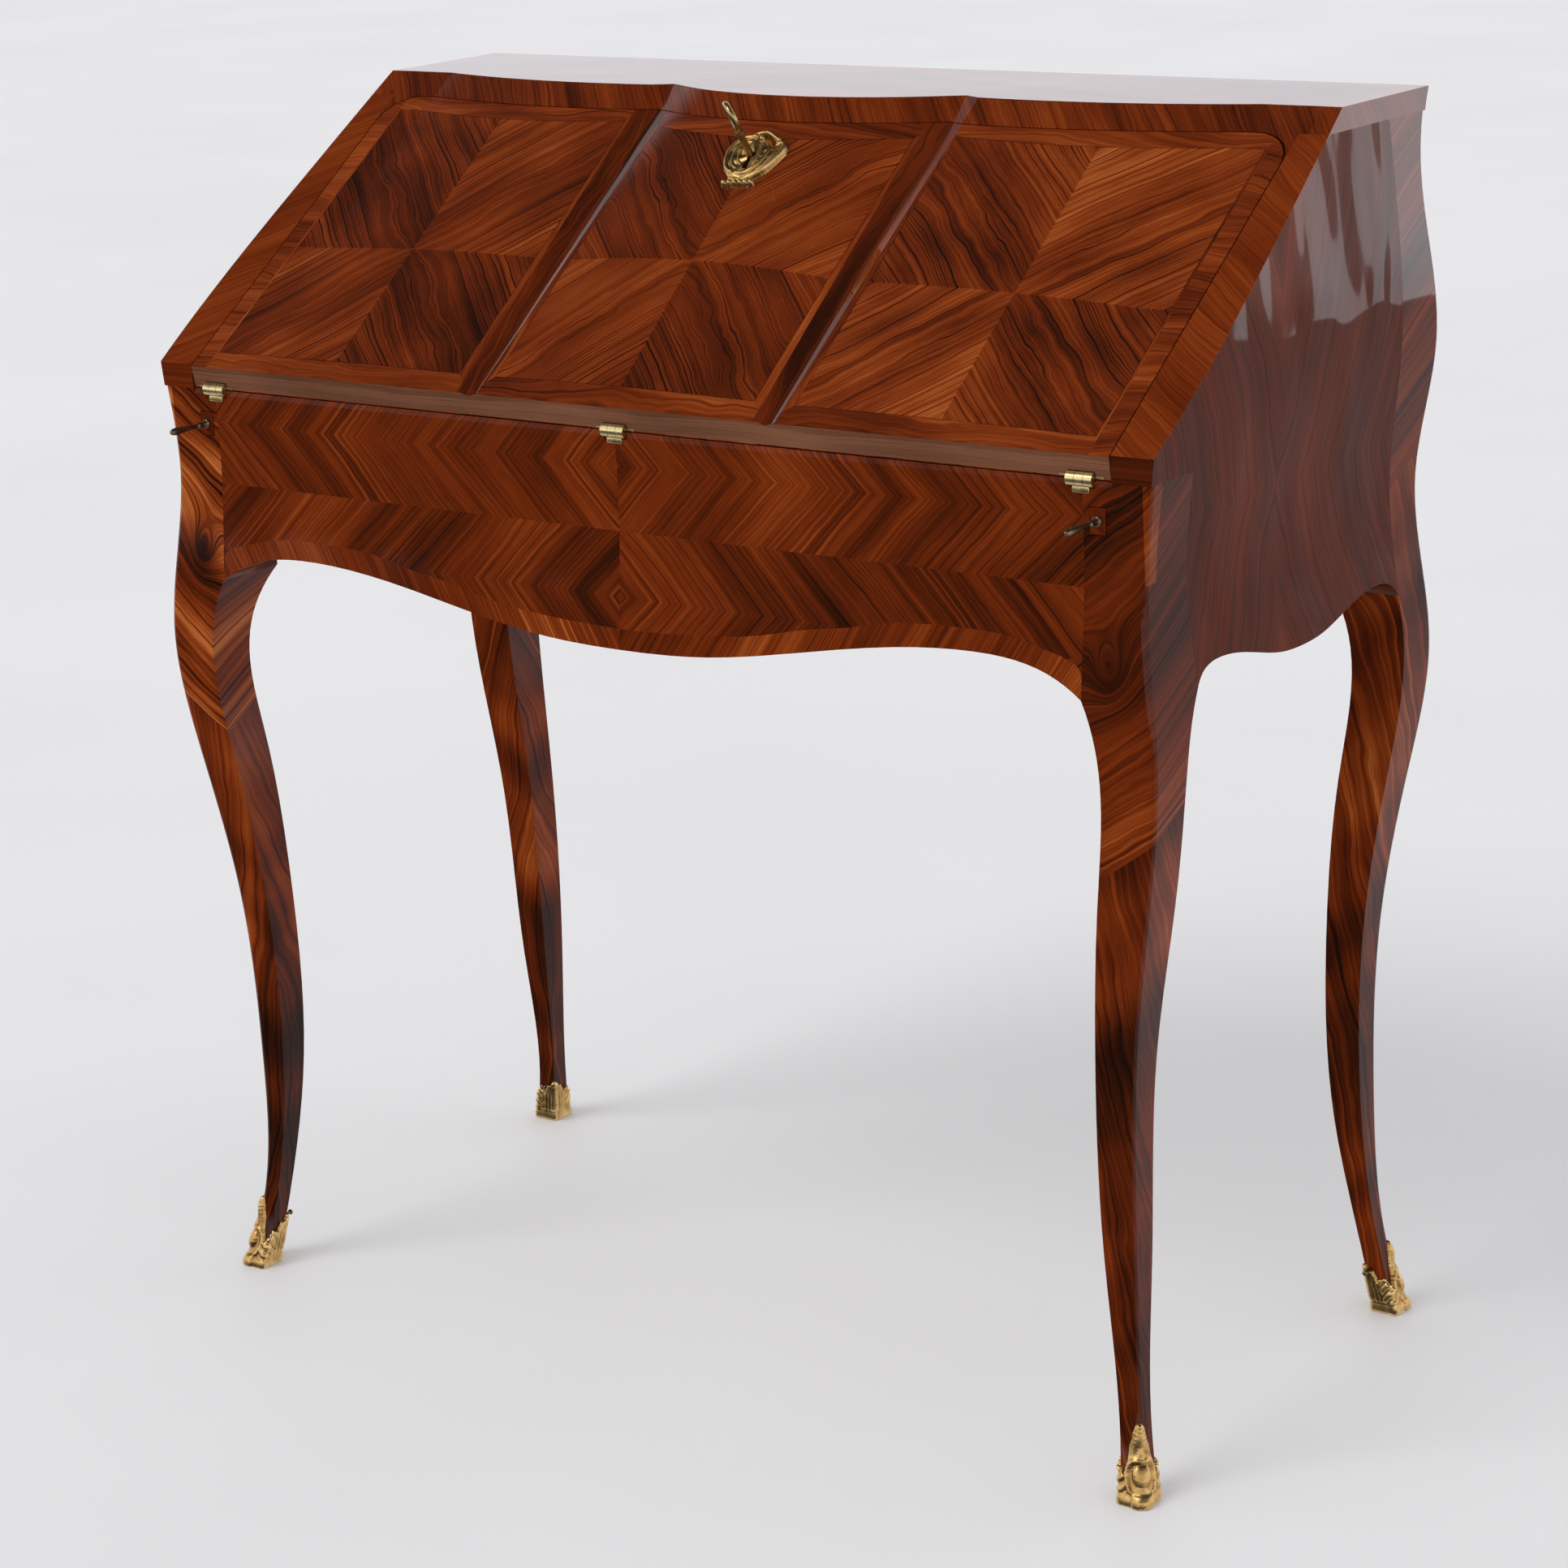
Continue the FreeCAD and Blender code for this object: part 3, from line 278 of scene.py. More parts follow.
# How much the marks change the tone, and the levels that the lines and their zones stand out from
MIDDLE_TONE = 0.51
BROAD_SHARE, HAIR_SHARE, CLOUD_SHARE, PORE_SHARE, VEIN_SHARE = 0.4, 0.36, 0.85, 0.2, 2.6
LINE_FROM, VEIN_FROM, STREAK_FROM = 0.52, 0.54, 0.5
INK_FROM, PATCH_FROM, GLEAM_TO = 0.3, 0.35, 0.62


def figure(graph, along, across, seed, swirl=8.0, lanes=130.0, flame=1.0, ink=3.0, gleam=0.0):
    """Tone of figured wood: fine lines and dark veins that follow the grain, in clouds, with pores.

    swirl bends the grain, and lanes says how many lines it has to a metre; flame, ink and gleam say how much
    broad marks, dark lines and bright streaks stand out.
    """

    def cloudy(lengthwise, sideways, offset, detail):
        return graph.noise((along * lengthwise, across * sideways, seed + offset), detail=detail)

    def lined(rate, offset, detail, rough):
        return graph.lines(lane * rate + offset, detail, rough)

    lane = across * lanes + (cloudy(*DRIFT) - 0.5) * swirl + seed * SEED_LANES
    zone = cloudy(*ZONE)
    line = lined(*LINE).above(LINE_FROM) * zone.above(INK_FROM)
    vein = lined(*VEIN).above(VEIN_FROM) * cloudy(*PATCH).above(PATCH_FROM)
    streak = lined(*STREAK).above(STREAK_FROM) * (GLEAM_TO - zone).most(0.0)
    broad = (lined(*BROAD) - 0.5) * BROAD_SHARE + (cloudy(*CLOUD) - 0.5) * CLOUD_SHARE - vein * VEIN_SHARE
    fine = (lined(*HAIR) - 0.5) * HAIR_SHARE + (cloudy(*PORES) - 0.5) * PORE_SHARE
    return MIDDLE_TONE + broad * flame + fine - line * ink + streak * gleam


POLISH_ROUGH, POLISH_GAIN, GRAIN_DEPTH = 0.36, 0.1, 0.05 * MM


def polished(graph, tone, colour=None, coat=0.75, unevenness=0.35, stretch=1.0, dents=11.0):
    """French-polished wood: deep colour under a clear coat that isn't quite flat.

    The coat waves by its unevenness in millimetres. dents says how many waves there are to a metre, and a
    stretch below 1 draws them out upwards.
    """
    wave = graph.noise((graph.x, graph.y, graph.z * stretch), detail=1.0, scale=dents)
    graph.raise_by(wave, unevenness * MM, "Coat Normal")
    if colour is None:
        colour = graph.ramp(tone, ROSEWOOD)
    rough = POLISH_ROUGH - tone * POLISH_GAIN
    return graph.finish(colour, rough, bump=tone, bump_height=GRAIN_DEPTH, coat=coat)


def fall_places(graph):
    """Distance up the slope and height off it, in the fall's own frame."""
    y, z = graph.y - fall_axis.y, graph.z - fall_axis.z
    up = y * uphill.y + z * uphill.z
    out = y * fall_normal.y + z * fall_normal.z
    return up, out


def panels(graph):
    """Of the panel round a point: distance from its middle, half width, if it is an outer one, and middle."""
    outer = abs(graph.x) > VALLEY
    centre = graph.x.sign() * outer * outer_centre
    offset = graph.x - centre
    half = graph.pick(outer, VALLEY, outer_half)
    return offset, half, outer, centre


# Fall: its bands, then steps of tone between its pieces of veneer and an offset of the seed for each kind. The
# quarters' step is painted sheen, and the valleys' darkening is painted shade over real strips
FALL_FOOT = 7.0 * MM
FALL_BAND = 17.0 * MM
STILE_BAND = 15.0 * MM
STRING = 0.6 * MM
QUARTER_SHEEN, PANEL_STEP, VALLEY_SHADE, STRING_DARK, BAND_LIGHT = 0.08, 0.28, 0.2, 0.12, 0.06
PANEL_SEED, BAND_SEED, VALLEY_SEED, STILE_SEED = 11.0, 5.3, 9.1, 2.2
# The plain strip at its foot: more contrast than the figure has, and less light
FOOT_CONTRAST, FOOT_DARK = 1.1, 0.02


def fall_veneer():
    """Three quarter-matched panels in straight bands, parted by strips in the valleys that are darkened with
    painted shade.
    """
    graph = Graph("fall_veneer")
    up, out = fall_places(graph)
    offset, half, outer, centre = panels(graph)
    away = abs(graph.x)
    across_share = abs(offset) / half
    inner_share = away / VALLEY
    middle_edge = inner_share * inner_share * (VALLEY_TOP - MIDDLE_TOP) + MIDDLE_TOP
    outer_middle = (SWELL_END + VALLEY) / 2
    outer_share = (away - outer_middle) / (SWELL_END - outer_middle)
    lean = (FLAT_TOP - VALLEY_TOP) / 2
    bow = (FLAT_TOP + VALLEY_TOP) / 2 - OUTER_TOP
    outer_edge = (outer_share * lean + outer_share * outer_share * bow + OUTER_TOP).least(FLAT_TOP)
    top = graph.pick(outer, middle_edge, outer_edge)
    half_up = (MIDDLE_TOP - FALL_FOOT) / 2
    rise = up - (FALL_FOOT + half_up)
    climb = abs(rise) / half_up
    along = (across_share + climb) * outer_half
    across = (across_share - climb) * outer_half
    # Painted sheen: alternate quarters of each panel lighter and darker; the step between panels is their own tone
    shade = offset.sign() * rise.sign() * QUARTER_SHEEN + centre * PANEL_STEP

    side_room = half - abs(offset)
    end_room = (top - up).least(up - FALL_FOOT)
    edge_room = side_room.least(end_room)
    in_band = edge_room < FALL_BAND
    lengthwise = end_room < side_room
    band_along = graph.pick(lengthwise, up, graph.x)
    band_across = graph.pick(lengthwise, graph.x, up)
    groove = up * ((GROOVE_HIGH - GROOVE_LOW) / FALL_LENGTH) + GROOVE_LOW
    in_valley = abs(away - VALLEY) < groove
    in_stile = (fall_half - away) < STILE_BAND
    string_line = abs(edge_room - FALL_BAND) < STRING

    along = graph.pick(in_band, along, band_along)
    across = graph.pick(in_band, across, band_across)
    along = graph.pick(in_valley, along, up)
    across = graph.pick(in_valley, across, graph.x)
    along = graph.pick(in_stile, along, graph.x)
    across = graph.pick(in_stile, across, up)
    seed = centre * PANEL_SEED + in_band * BAND_SEED + in_valley * VALLEY_SEED + in_stile * STILE_SEED
    straight = (abs(across) / (outer_half * 0.5)).least(1.0) * (1.0 - in_band)
    tone = figure(graph, along, across, seed, swirl=8.5 - straight * 6.0, lanes=150.0, flame=1.15,
                  ink=2.2 + straight * 4.5, gleam=straight * 3.0)
    # Adds the quarters' painted sheen and the panels' own tone
    tone = tone + shade * (1.0 - in_band) + in_band * BAND_LIGHT
    # Painted shade darkens the strips in the valleys' grooves; their lengthwise grain is the real strips' own
    tone = tone - in_valley * VALLEY_SHADE - string_line * STRING_DARK
    foot = (up < FALL_FOOT) * (out > STRING)
    plain = figure(graph, graph.x, out, 4.4, swirl=3.0, lanes=260.0, flame=1.4) * FOOT_CONTRAST - FOOT_DARK
    colour = graph.pick_colour(foot, graph.ramp(tone, ROSEWOOD), graph.ramp(plain, WALNUT))
    return polished(graph, tone, colour, coat=1.0)


# Lower edge of the apron: share of the half width, and share of the rise from pendant to arch
LOWER_EDGE_SHARES = ((0.0, 0.0), (0.2, 0.1), (0.47, 0.61), (0.77, 1.0), (0.92, 0.79), (1.0, 0.3))
ARCH_RISE = 33.0 * MM
EDGE_BAND = 15.0 * MM
FOLD_HEIGHT, FOLD_SPAN = 697.0 * MM, 47.0 * MM
CHEVRON_SLANT, BAND_LEAN, APRON_DARK = 0.7, 0.6, 0.07


def apron_veneer():
    """Fine chevrons that point away from the middle, with cross-banding along the shaped lower edge."""
    graph = Graph("apron_veneer")
    away = abs(graph.x)
    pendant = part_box("front_apron")[0].z
    edge = graph.curve(away / post_inner, LOWER_EDGE_SHARES) * ARCH_RISE + pendant
    fold = (graph.z - FOLD_HEIGHT).fold(FOLD_SPAN)
    lower = graph.z < FOLD_HEIGHT - FOLD_SPAN
    across = (away + fold) * CHEVRON_SLANT
    along = (away - fold) * CHEVRON_SLANT
    in_band = (graph.z - edge) < EDGE_BAND
    lean = graph.x - graph.z * graph.x.sign() * BAND_LEAN
    along = graph.pick(in_band, along, graph.z)
    across = graph.pick(in_band, across, lean)
    seed = graph.x.sign() * 0.2 + lower * 1.7 + in_band * 3.1
    tone = figure(graph, along, across, seed, swirl=2.5, lanes=150.0, flame=1.0, ink=1.8, gleam=3.2)
    return polished(graph, tone + in_band * BAND_LIGHT - APRON_DARK)


# Legs: the slanted joint below the posts, a painted highlight on the upper corners, the ankles, and a knot in each
# leg
POST_FOOT = 250.0 * MM
CORNER_LOW, CORNER_SPAN = 655.0 * MM, 12.0 * MM
ANKLE_TOP = 450.0 * MM
KNOT_ACROSS, KNOT_UP, KNOT_SIZE, KNOT_RISE = 405.0 * MM, 598.0 * MM, 11.0 * MM, 45.0 * MM
KNOT_TALL = 1.5
# Directions in the legs: up from the joint, across and along the slanted grain, and across the posts' grain
JOINT_WAY, SLANT_ACROSS, SLANT_ALONG = (-0.75, -0.5, 1.0), (-0.6, -0.45, 0.8), (0.8, 0.0, 0.6)
POST_ACROSS = (0.8, 0.6, 0.16)
# Changes of tone per metre of leg, steps of tone with a painted highlight on the corners last, and how the left
# front post is lighter and livelier
LENGTHS = 13.0
LEG_DARK, POST_DARK, KNOT_DARK, ANKLE_DARK, CORNER_HIGHLIGHT = 0.04, 0.07, 0.2, 0.22, 0.3
LEFT_POST_FROM, LEFT_POST_GAIN, LEFT_POST_LIGHT = 0.4, 0.8, 0.12


def leg_veneer():
    """Slanted, knotty figure in lengths of lighter and darker wood; a painted highlight on each upper corner."""
    graph = Graph("leg_veneer")
    away, depth = abs(graph.x), graph.y
    low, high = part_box("front_right_leg")
    lower = graph.toward(JOINT_WAY) < POST_FOOT
    upper = 1.0 - lower
    slant = graph.toward(SLANT_ACROSS)
    knot_across = (away - KNOT_ACROSS) / KNOT_SIZE
    knot_up = (graph.z - KNOT_UP) / (KNOT_SIZE * KNOT_TALL)
    knot = (1.0 + knot_across * knot_across + knot_up * knot_up).inverse()
    across = graph.pick(lower, slant, graph.toward(POST_ACROSS)) + knot * KNOT_RISE
    along = graph.pick(lower, graph.toward(SLANT_ALONG), graph.z)
    seed = graph.x.sign() * 1.3 + depth.sign() * 2.9
    length = graph.lines(slant * LENGTHS + seed, detail=1.0, rough=0.6)
    # Painted highlight: a bright strip down the outer front corner of each post's upper part
    corner_highlight = (away > high.x - CORNER_SPAN) * (depth < low.y + 2 * CORNER_SPAN) * (graph.z > CORNER_LOW)
    tone = figure(graph, along, across, seed, swirl=5.0, lanes=130.0, flame=1.2, gleam=4.0)
    tone = tone + (length - 0.5) - knot * KNOT_DARK
    left_post = (graph.x < 0.0) * upper * (depth < 0.0)
    lighter = (tone - LEFT_POST_FROM) * LEFT_POST_GAIN + LEFT_POST_LIGHT
    tone = tone - upper * POST_DARK - LEG_DARK + left_post * lighter
    ankle = ((ANKLE_TOP - graph.z) / ANKLE_TOP).most(0.0)
    # The corners get their painted highlight
    return polished(graph, tone + corner_highlight * CORNER_HIGHLIGHT - ankle * ANKLE_DARK)


# Sides: the level that the panel is matched about, the cut of its grain, and the sloping edge above the hinge
SIDE_FOLD = 690.0 * MM
SIDE_GRAIN, SIDE_LEAN = 0.9, 0.35
SLOPE_FACE = 15.2 * MM
SLOPE_LEAN = 0.7
SIDE_DARK, SLOPE_LIGHT = 0.14, 0.2


def side_veneer():
    """Large quarter-matched panel; cross-banding on the sloping edge."""
    graph = Graph("side_veneer")
    up, out = fall_places(graph)
    centre_y = (side_low.y + side_high.y) / 2
    offset = abs(graph.y - centre_y)
    rise = abs(graph.z - SIDE_FOLD)
    slope_face = out > SLOPE_FACE
    along = graph.pick(slope_face, offset * SIDE_LEAN + rise * SIDE_GRAIN, abs(graph.x))
    across = graph.pick(slope_face, offset * SIDE_GRAIN - rise * SIDE_LEAN, up + abs(graph.x) * SLOPE_LEAN)
    seed = graph.x.sign() * 2.1 + slope_face * 4.0
    tone = figure(graph, along, across, seed, swirl=5.0, lanes=120.0, flame=0.55, ink=0.9)
    tone = tone - SIDE_DARK + slope_face * SLOPE_LIGHT
    return polished(graph, tone, coat=0.55, unevenness=2.4, stretch=0.35, dents=20.0)


# Top: width of its band, and directions across the grain of its halves and of the band
TOP_BAND = 16.0 * MM
TOP_ACROSS, TOP_BAND_ACROSS = (0.25, 0.8, 0.0), (0.7, 0.7, 0.0)
TOP_EDGE_LEAN = 0.8


def top_veneer():
    """Top: two book-matched halves with a cross-banded edge; its front edge is banded too."""
    graph = Graph("top_veneer")
    up, out = fall_places(graph)
    back_room = top_high.y - graph.y
    side_room = top_high.x - abs(graph.x)
    in_band = side_room.least(back_room) < TOP_BAND
    on_top = graph.z > top_high.z - STRING
    along = graph.pick(on_top, up, graph.y)
    across = graph.pick(on_top, graph.x + up * TOP_EDGE_LEAN, graph.toward(TOP_ACROSS))
    across = graph.pick(in_band * on_top, across, graph.toward(TOP_BAND_ACROSS))
    tone = figure(graph, along, across, on_top * 2.0 + in_band * 1.5, swirl=3.0, lanes=130.0)
    return polished(graph, tone, coat=0.85)


# Plainer woods: less contrast than the figure has, then more light
BACK_CONTRAST, BACK_LIGHT = 0.8, 0.06
LOPER_CONTRAST, LOPER_LIGHT = 0.6, 0.1
LOPER_TURN = 0.8


def back_veneer():
    """Plainer straight-grained veneer, book-matched down the middle."""
    graph = Graph("back_veneer")
    tone = figure(graph, graph.z, abs(graph.x), 6.0, swirl=5.0, lanes=70.0)
    return polished(graph, tone * BACK_CONTRAST + BACK_LIGHT)


def loper_wood():
    """Dark, straight-grained wood like the posts that the lopers come out of."""
    graph = Graph("loper_wood")
    tone = figure(graph, graph.y, graph.x * LOPER_TURN + graph.z, 5.1, swirl=1.5, lanes=90.0)
    return polished(graph, tone * LOPER_CONTRAST + LOPER_LIGHT)


PLAIN_TURN, PLAIN_DEPTH = 0.9, 0.08 * MM
PLAIN_GLOSS, PLAIN_SPREAD = 0.2, 0.08


def plain_wood(name, stops, rough, lanes):
    """Straight-grained wood for the parts inside the case."""
    graph = Graph(name)
    tone = figure(graph, graph.x, graph.y + graph.z * PLAIN_TURN, 1.7, swirl=2.5, lanes=lanes)
    colour = graph.ramp(tone, stops)
    graph.shader.inputs["Specular IOR Level"].default_value = PLAIN_GLOSS
    return graph.finish(colour, rough + tone * PLAIN_SPREAD, bump=tone, bump_height=PLAIN_DEPTH)


# Metal: changes per metre in its clouds and grain, how grain and hollows change its tone, and its relief
METAL_CLOUD, METAL_GRAIN = 140.0, 1400.0
GRAIN_SHARE, HOLLOW_SHARE = 0.3, 3.5
CAST_DEPTH = 0.15 * MM


def metal(name, stops, rough, spread, grime):
    """Cast or turned metal: worn bright on the swells, dull and dark in the hollows."""
    graph = Graph(name)
    place = (graph.x, graph.y, graph.z)
    cloud = graph.noise(place, detail=4.0, rough=0.6, scale=METAL_CLOUD)
    grain = graph.noise(place, detail=2.0, scale=METAL_GRAIN)
    tone = 0.5 + (cloud - 0.5) * grime + (grain - 0.5) * GRAIN_SHARE + graph.hollows() * HOLLOW_SHARE
    colour = graph.ramp(tone, stops)
    return graph.finish(colour, rough + cloud * spread, bump=cloud, bump_height=CAST_DEPTH, metallic=1.0)


# Leather: its ends up the slope, gilt lines by distance from the edge and half width, its grain and its tones
LEATHER_LOW, LEATHER_HIGH = 40.0 * MM, 194.0 * MM
GILT_LINES = ((9.0 * MM, 0.9 * MM), (12.5 * MM, 0.4 * MM))
PEBBLES, PEBBLE_DEPTH, PEBBLE_SHARE = 900.0, 0.15 * MM, 0.25
LEATHER_CLOUD, LEATHER_TONE, LEATHER_SHARE = 14.0, 0.25, 0.35
LEATHER_ROUGH, GILT_SHINE = 0.62, 0.25
GREEN = ((0.0, (0.010, 0.016, 0.008)), (0.5, (0.030, 0.044, 0.020)), (0.86, (0.060, 0.075, 0.030)),
         (1.0, (0.50, 0.33, 0.10)))


def leather():
    """Dark green writing leather with a pebbled grain and two gilt lines round its edge."""
    graph = Graph("leather")
    up, out = fall_places(graph)
    pebbles = graph.noise((graph.x, up, out), detail=3.0, scale=PEBBLES)
    cloud = graph.noise((graph.x, up, out), detail=3.0, scale=LEATHER_CLOUD)
    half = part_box("writing_leather")[1].x
    room = (half - abs(graph.x)).least((up - LEATHER_LOW).least(LEATHER_HIGH - up))
    gilt = sum(abs(room - inset) < width for inset, width in GILT_LINES)
    tone = LEATHER_TONE + cloud * LEATHER_SHARE + (pebbles - 0.5) * PEBBLE_SHARE
    colour = graph.ramp(graph.pick(gilt, tone, 1.0), GREEN)
    return graph.finish(colour, LEATHER_ROUGH - gilt * GILT_SHINE, bump=pebbles, bump_height=PEBBLE_DEPTH)


GILT = ((0.0, (0.06, 0.030, 0.009)), (0.3, (0.28, 0.155, 0.046)), (0.6, (0.60, 0.37, 0.13)),
        (1.0, (0.93, 0.70, 0.35)))
BRONZE = ((0.0, (0.045, 0.030, 0.018)), (0.5, (0.17, 0.12, 0.070)), (1.0, (0.42, 0.33, 0.21)))
BRASS = ((0.0, (0.13, 0.085, 0.032)), (0.45, (0.40, 0.285, 0.115)), (1.0, (0.78, 0.62, 0.31)))
IRON = ((0.0, (0.05, 0.045, 0.04)), (0.5, (0.20, 0.185, 0.165)), (1.0, (0.42, 0.40, 0.37)))

MATERIALS = {
    "fall_veneer": fall_veneer(),
    "apron_veneer": apron_veneer(),
    "leg_veneer": leg_veneer(),
    "side_veneer": side_veneer(),
    "top_veneer": top_veneer(),
    "back_veneer": back_veneer(),
    "carcase_oak": plain_wood("carcase_oak", OAK, rough=0.5, lanes=120.0),
    "interior_wood": plain_wood("interior_wood", WALNUT, rough=0.34, lanes=140.0),
    "gilt_bronze": metal("gilt_bronze", GILT, rough=0.24, spread=0.2, grime=0.9),
    "brass": metal("brass", BRASS, rough=0.2, spread=0.2, grime=0.7),
    "iron": metal("iron", IRON, rough=0.32, spread=0.25, grime=0.8),
    "leather": leather(),
    "loper_wood": loper_wood(),
    "dull_bronze": metal("dull_bronze", BRONZE, rough=0.3, spread=0.2, grime=0.8),
}

# Finishes that aren't the ones of the record
OTHER_FINISH = {"left_loper": "loper_wood", "right_loper": "loper_wood", "fall_stops": "interior_wood"}

for part in frame["record"]["subparts"]:
    mesh = nodes[part["node"]].data
    mesh.materials.clear()
    mesh.materials.append(MATERIALS[OTHER_FINISH.get(part["node"], part["material_slot"])])

# Cast and turned ornament, worked out in millimetres

CURVE_STEPS = 12


def ridge(away, width):
    """A rounded strip: 1 along its middle, fading at about its half width."""
    return math.exp(-(away / width) ** 2)


def dome(*shares):
    """A round boss: 1 at its middle, 0 from its rim outwards."""
    return math.sqrt(max(0.0, 1 - sum(share * share for share in shares)))


def soft_step(value):
    """0 up to 0 and 1 from 1 on, with a soft rise between."""
    value = min(1.0, max(0.0, value))
    return value * value * (3 - 2 * value)


def smooth_line(points):
    """Points along a smooth curve through the given ones."""
    chain = [points[0], *points, points[-1]]
    for a, b, c, d in zip(chain, chain[1:], chain[2:], chain[3:]):
        for number in range(CURVE_STEPS):
            t = number / CURVE_STEPS
            yield tuple((2 * q + (r - p) * t + (2 * p - 5 * q + 4 * r - s) * t * t
                         + (3 * q - p - 3 * r + s) * t ** 3) / 2 for p, q, r, s in zip(a, b, c, d))


def nodes_ending(ending):
    return [node for node in nodes if node.endswith(ending)]


def mesh_of(name, points, faces):
    mesh = bpy.data.meshes.new(name)
    mesh.from_pydata(points, [], faces)
    mesh.update()
    return mesh


def mesh_from(name, form):
    """The mesh of a bmesh form, which is freed."""
    mesh = bpy.data.meshes.new(name)
    form.to_mesh(mesh)
    form.free()
    return mesh


def show(name, mesh, body, finish):
    """A new piece in its place: smooth, in a finish, moving with a body."""
    mesh.materials.clear()
    mesh.materials.append(MATERIALS[finish])
    mesh.polygons.foreach_set("use_smooth", [True] * len(mesh.polygons))
    piece = bpy.data.objects.new(name, mesh)
    bpy.context.scene.collection.objects.link(piece)
    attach(piece, body)
    return piece


LATHE_SIDES = 24


def turned(name, outline, place, way):
    """A turned mesh: its outline gives radius and distance from a place along a direction, in millimetres."""
    rings = list(smooth_line(outline)) + [outline[-1]]
    first = way.orthogonal().normalized()
    second = way.cross(first)
    turns = [2 * math.pi * number / LATHE_SIDES for number in range(LATHE_SIDES)]
    points = [place + (way * along + (first * math.cos(turn) + second * math.sin(turn)) * radius) * MM
              for radius, along in rings for turn in turns]
    faces = [tuple(range(len(points) - LATHE_SIDES, len(points)))]
    for ring in range(len(rings) - 1):
        for number in range(LATHE_SIDES):
            a = ring * LATHE_SIDES + number
            b = ring * LATHE_SIDES + (number + 1) % LATHE_SIDES
            faces.append((a, b, b + LATHE_SIDES, a + LATHE_SIDES))
    return mesh_of(name, points, faces)


# Bronze feet: grain of the mesh, height that the leg is cut at for it, and room taken off by its round corner
SABOT_GRAIN, SABOT_CUT, ARRIS_CUT = 0.75, 64, 2.3
SOLE_FADE = 1.5
# Heights of the leaves and notches from the outer corner to the inner one, and where along a face a notch is
TALL_LEAF, NOTCH, CORNER_LEAF, INNER_NOTCH, INNER_LEAF = 57, 21, 31, 27, 40
NOTCH_SHARE, LEAF_BEND = 0.66, 1.25
# Wall over the wood, how far it sinks below it past its edge, and the waves of that edge
SABOT_WALL, WALL_FADE, SINK, SINK_START = 1.8, 1.2, 1.5, 0.3
EDGE_WAVE, EDGE_WAVES, EDGE_START = 1.1, 1.3, 6
# Relief on the wall: how far each form stands out, then its place, its size and how soon it fades
PLINTH_OUT, PLINTH_TOP, PLINTH_FADE = 1.3, 11, 8
TOE_OUT, TOE_ASIDE, TOE_TOP, TOE_FADE = 1.4, 7, 10, 2
BOSS_OUT, BOSS_ASIDE, BOSS_UP, BOSS_TALL = 2.6, 4.5, 22, 7
SCROLL_OUT, SCROLL_ASIDE, SCROLL_UP, SCROLL_TALL, SCROLL_SHARE = 1.8, 10, 19, 13, 1 / 6
RIB_OUT, RIB_HALF, RIB_FOOT, RIB_FADE = 1.4, 1.6, 30, 4
FLUTE_OUT, FLUTE_PITCH, FLUTE_LEAN, FLUTE_FOOT, FLUTE_FADE = 0.8, 5, 0.25, 27, 6
LOBE_OUT, LOBE_PITCH, LOBE_FOOT, LOBE_LEAN, LOBE_ASIDE, LOBE_FADE = 1.5, 7, 6, 0.9, 9, 2
FAN_OUT, FAN_DEPTH, FAN_RIBS, FAN_TOP, FAN_FADE = 1.1, 0.7, 5, 30, 14
FAN_SHARE, FAN_START = 1.15, 0.3
RELIEF_FOOT, RELIEF_START, RELIEF_FADE = 8, 3, 1.5
# Points of a foot this close to a place count as lying there
NEAR = 1
# A nail that stands out of each foot's inner face: its level, distance from the inner corner, and outline
NAIL_UP, NAIL_INSET = 36, 5
NAIL_OUTLINE = ((1.2, -3), (1.2, 2), (1.2, 9.4), (2.1, 9.9), (2.1, 11), (1.2, 11.8), (0.1, 12))


def leaf_edge(share):
    """Height of a foot's upper edge; share runs from 0 at the outer corner over 1 to 2 at the inner one."""
    if share < NOTCH_SHARE:
        return NOTCH + (TALL_LEAF - NOTCH) * (1 - (share / NOTCH_SHARE) ** LEAF_BEND)
    if share < 1:
        return NOTCH + (CORNER_LEAF - NOTCH) * (share - NOTCH_SHARE) / (1 - NOTCH_SHARE)
    if share < 2 - NOTCH_SHARE:
        return CORNER_LEAF + (INNER_NOTCH - CORNER_LEAF) * (share - 1) / (1 - NOTCH_SHARE)
    return INNER_NOTCH + (INNER_LEAF - INNER_NOTCH) * math.sqrt(max(0, share - 2 + NOTCH_SHARE) / NOTCH_SHARE)


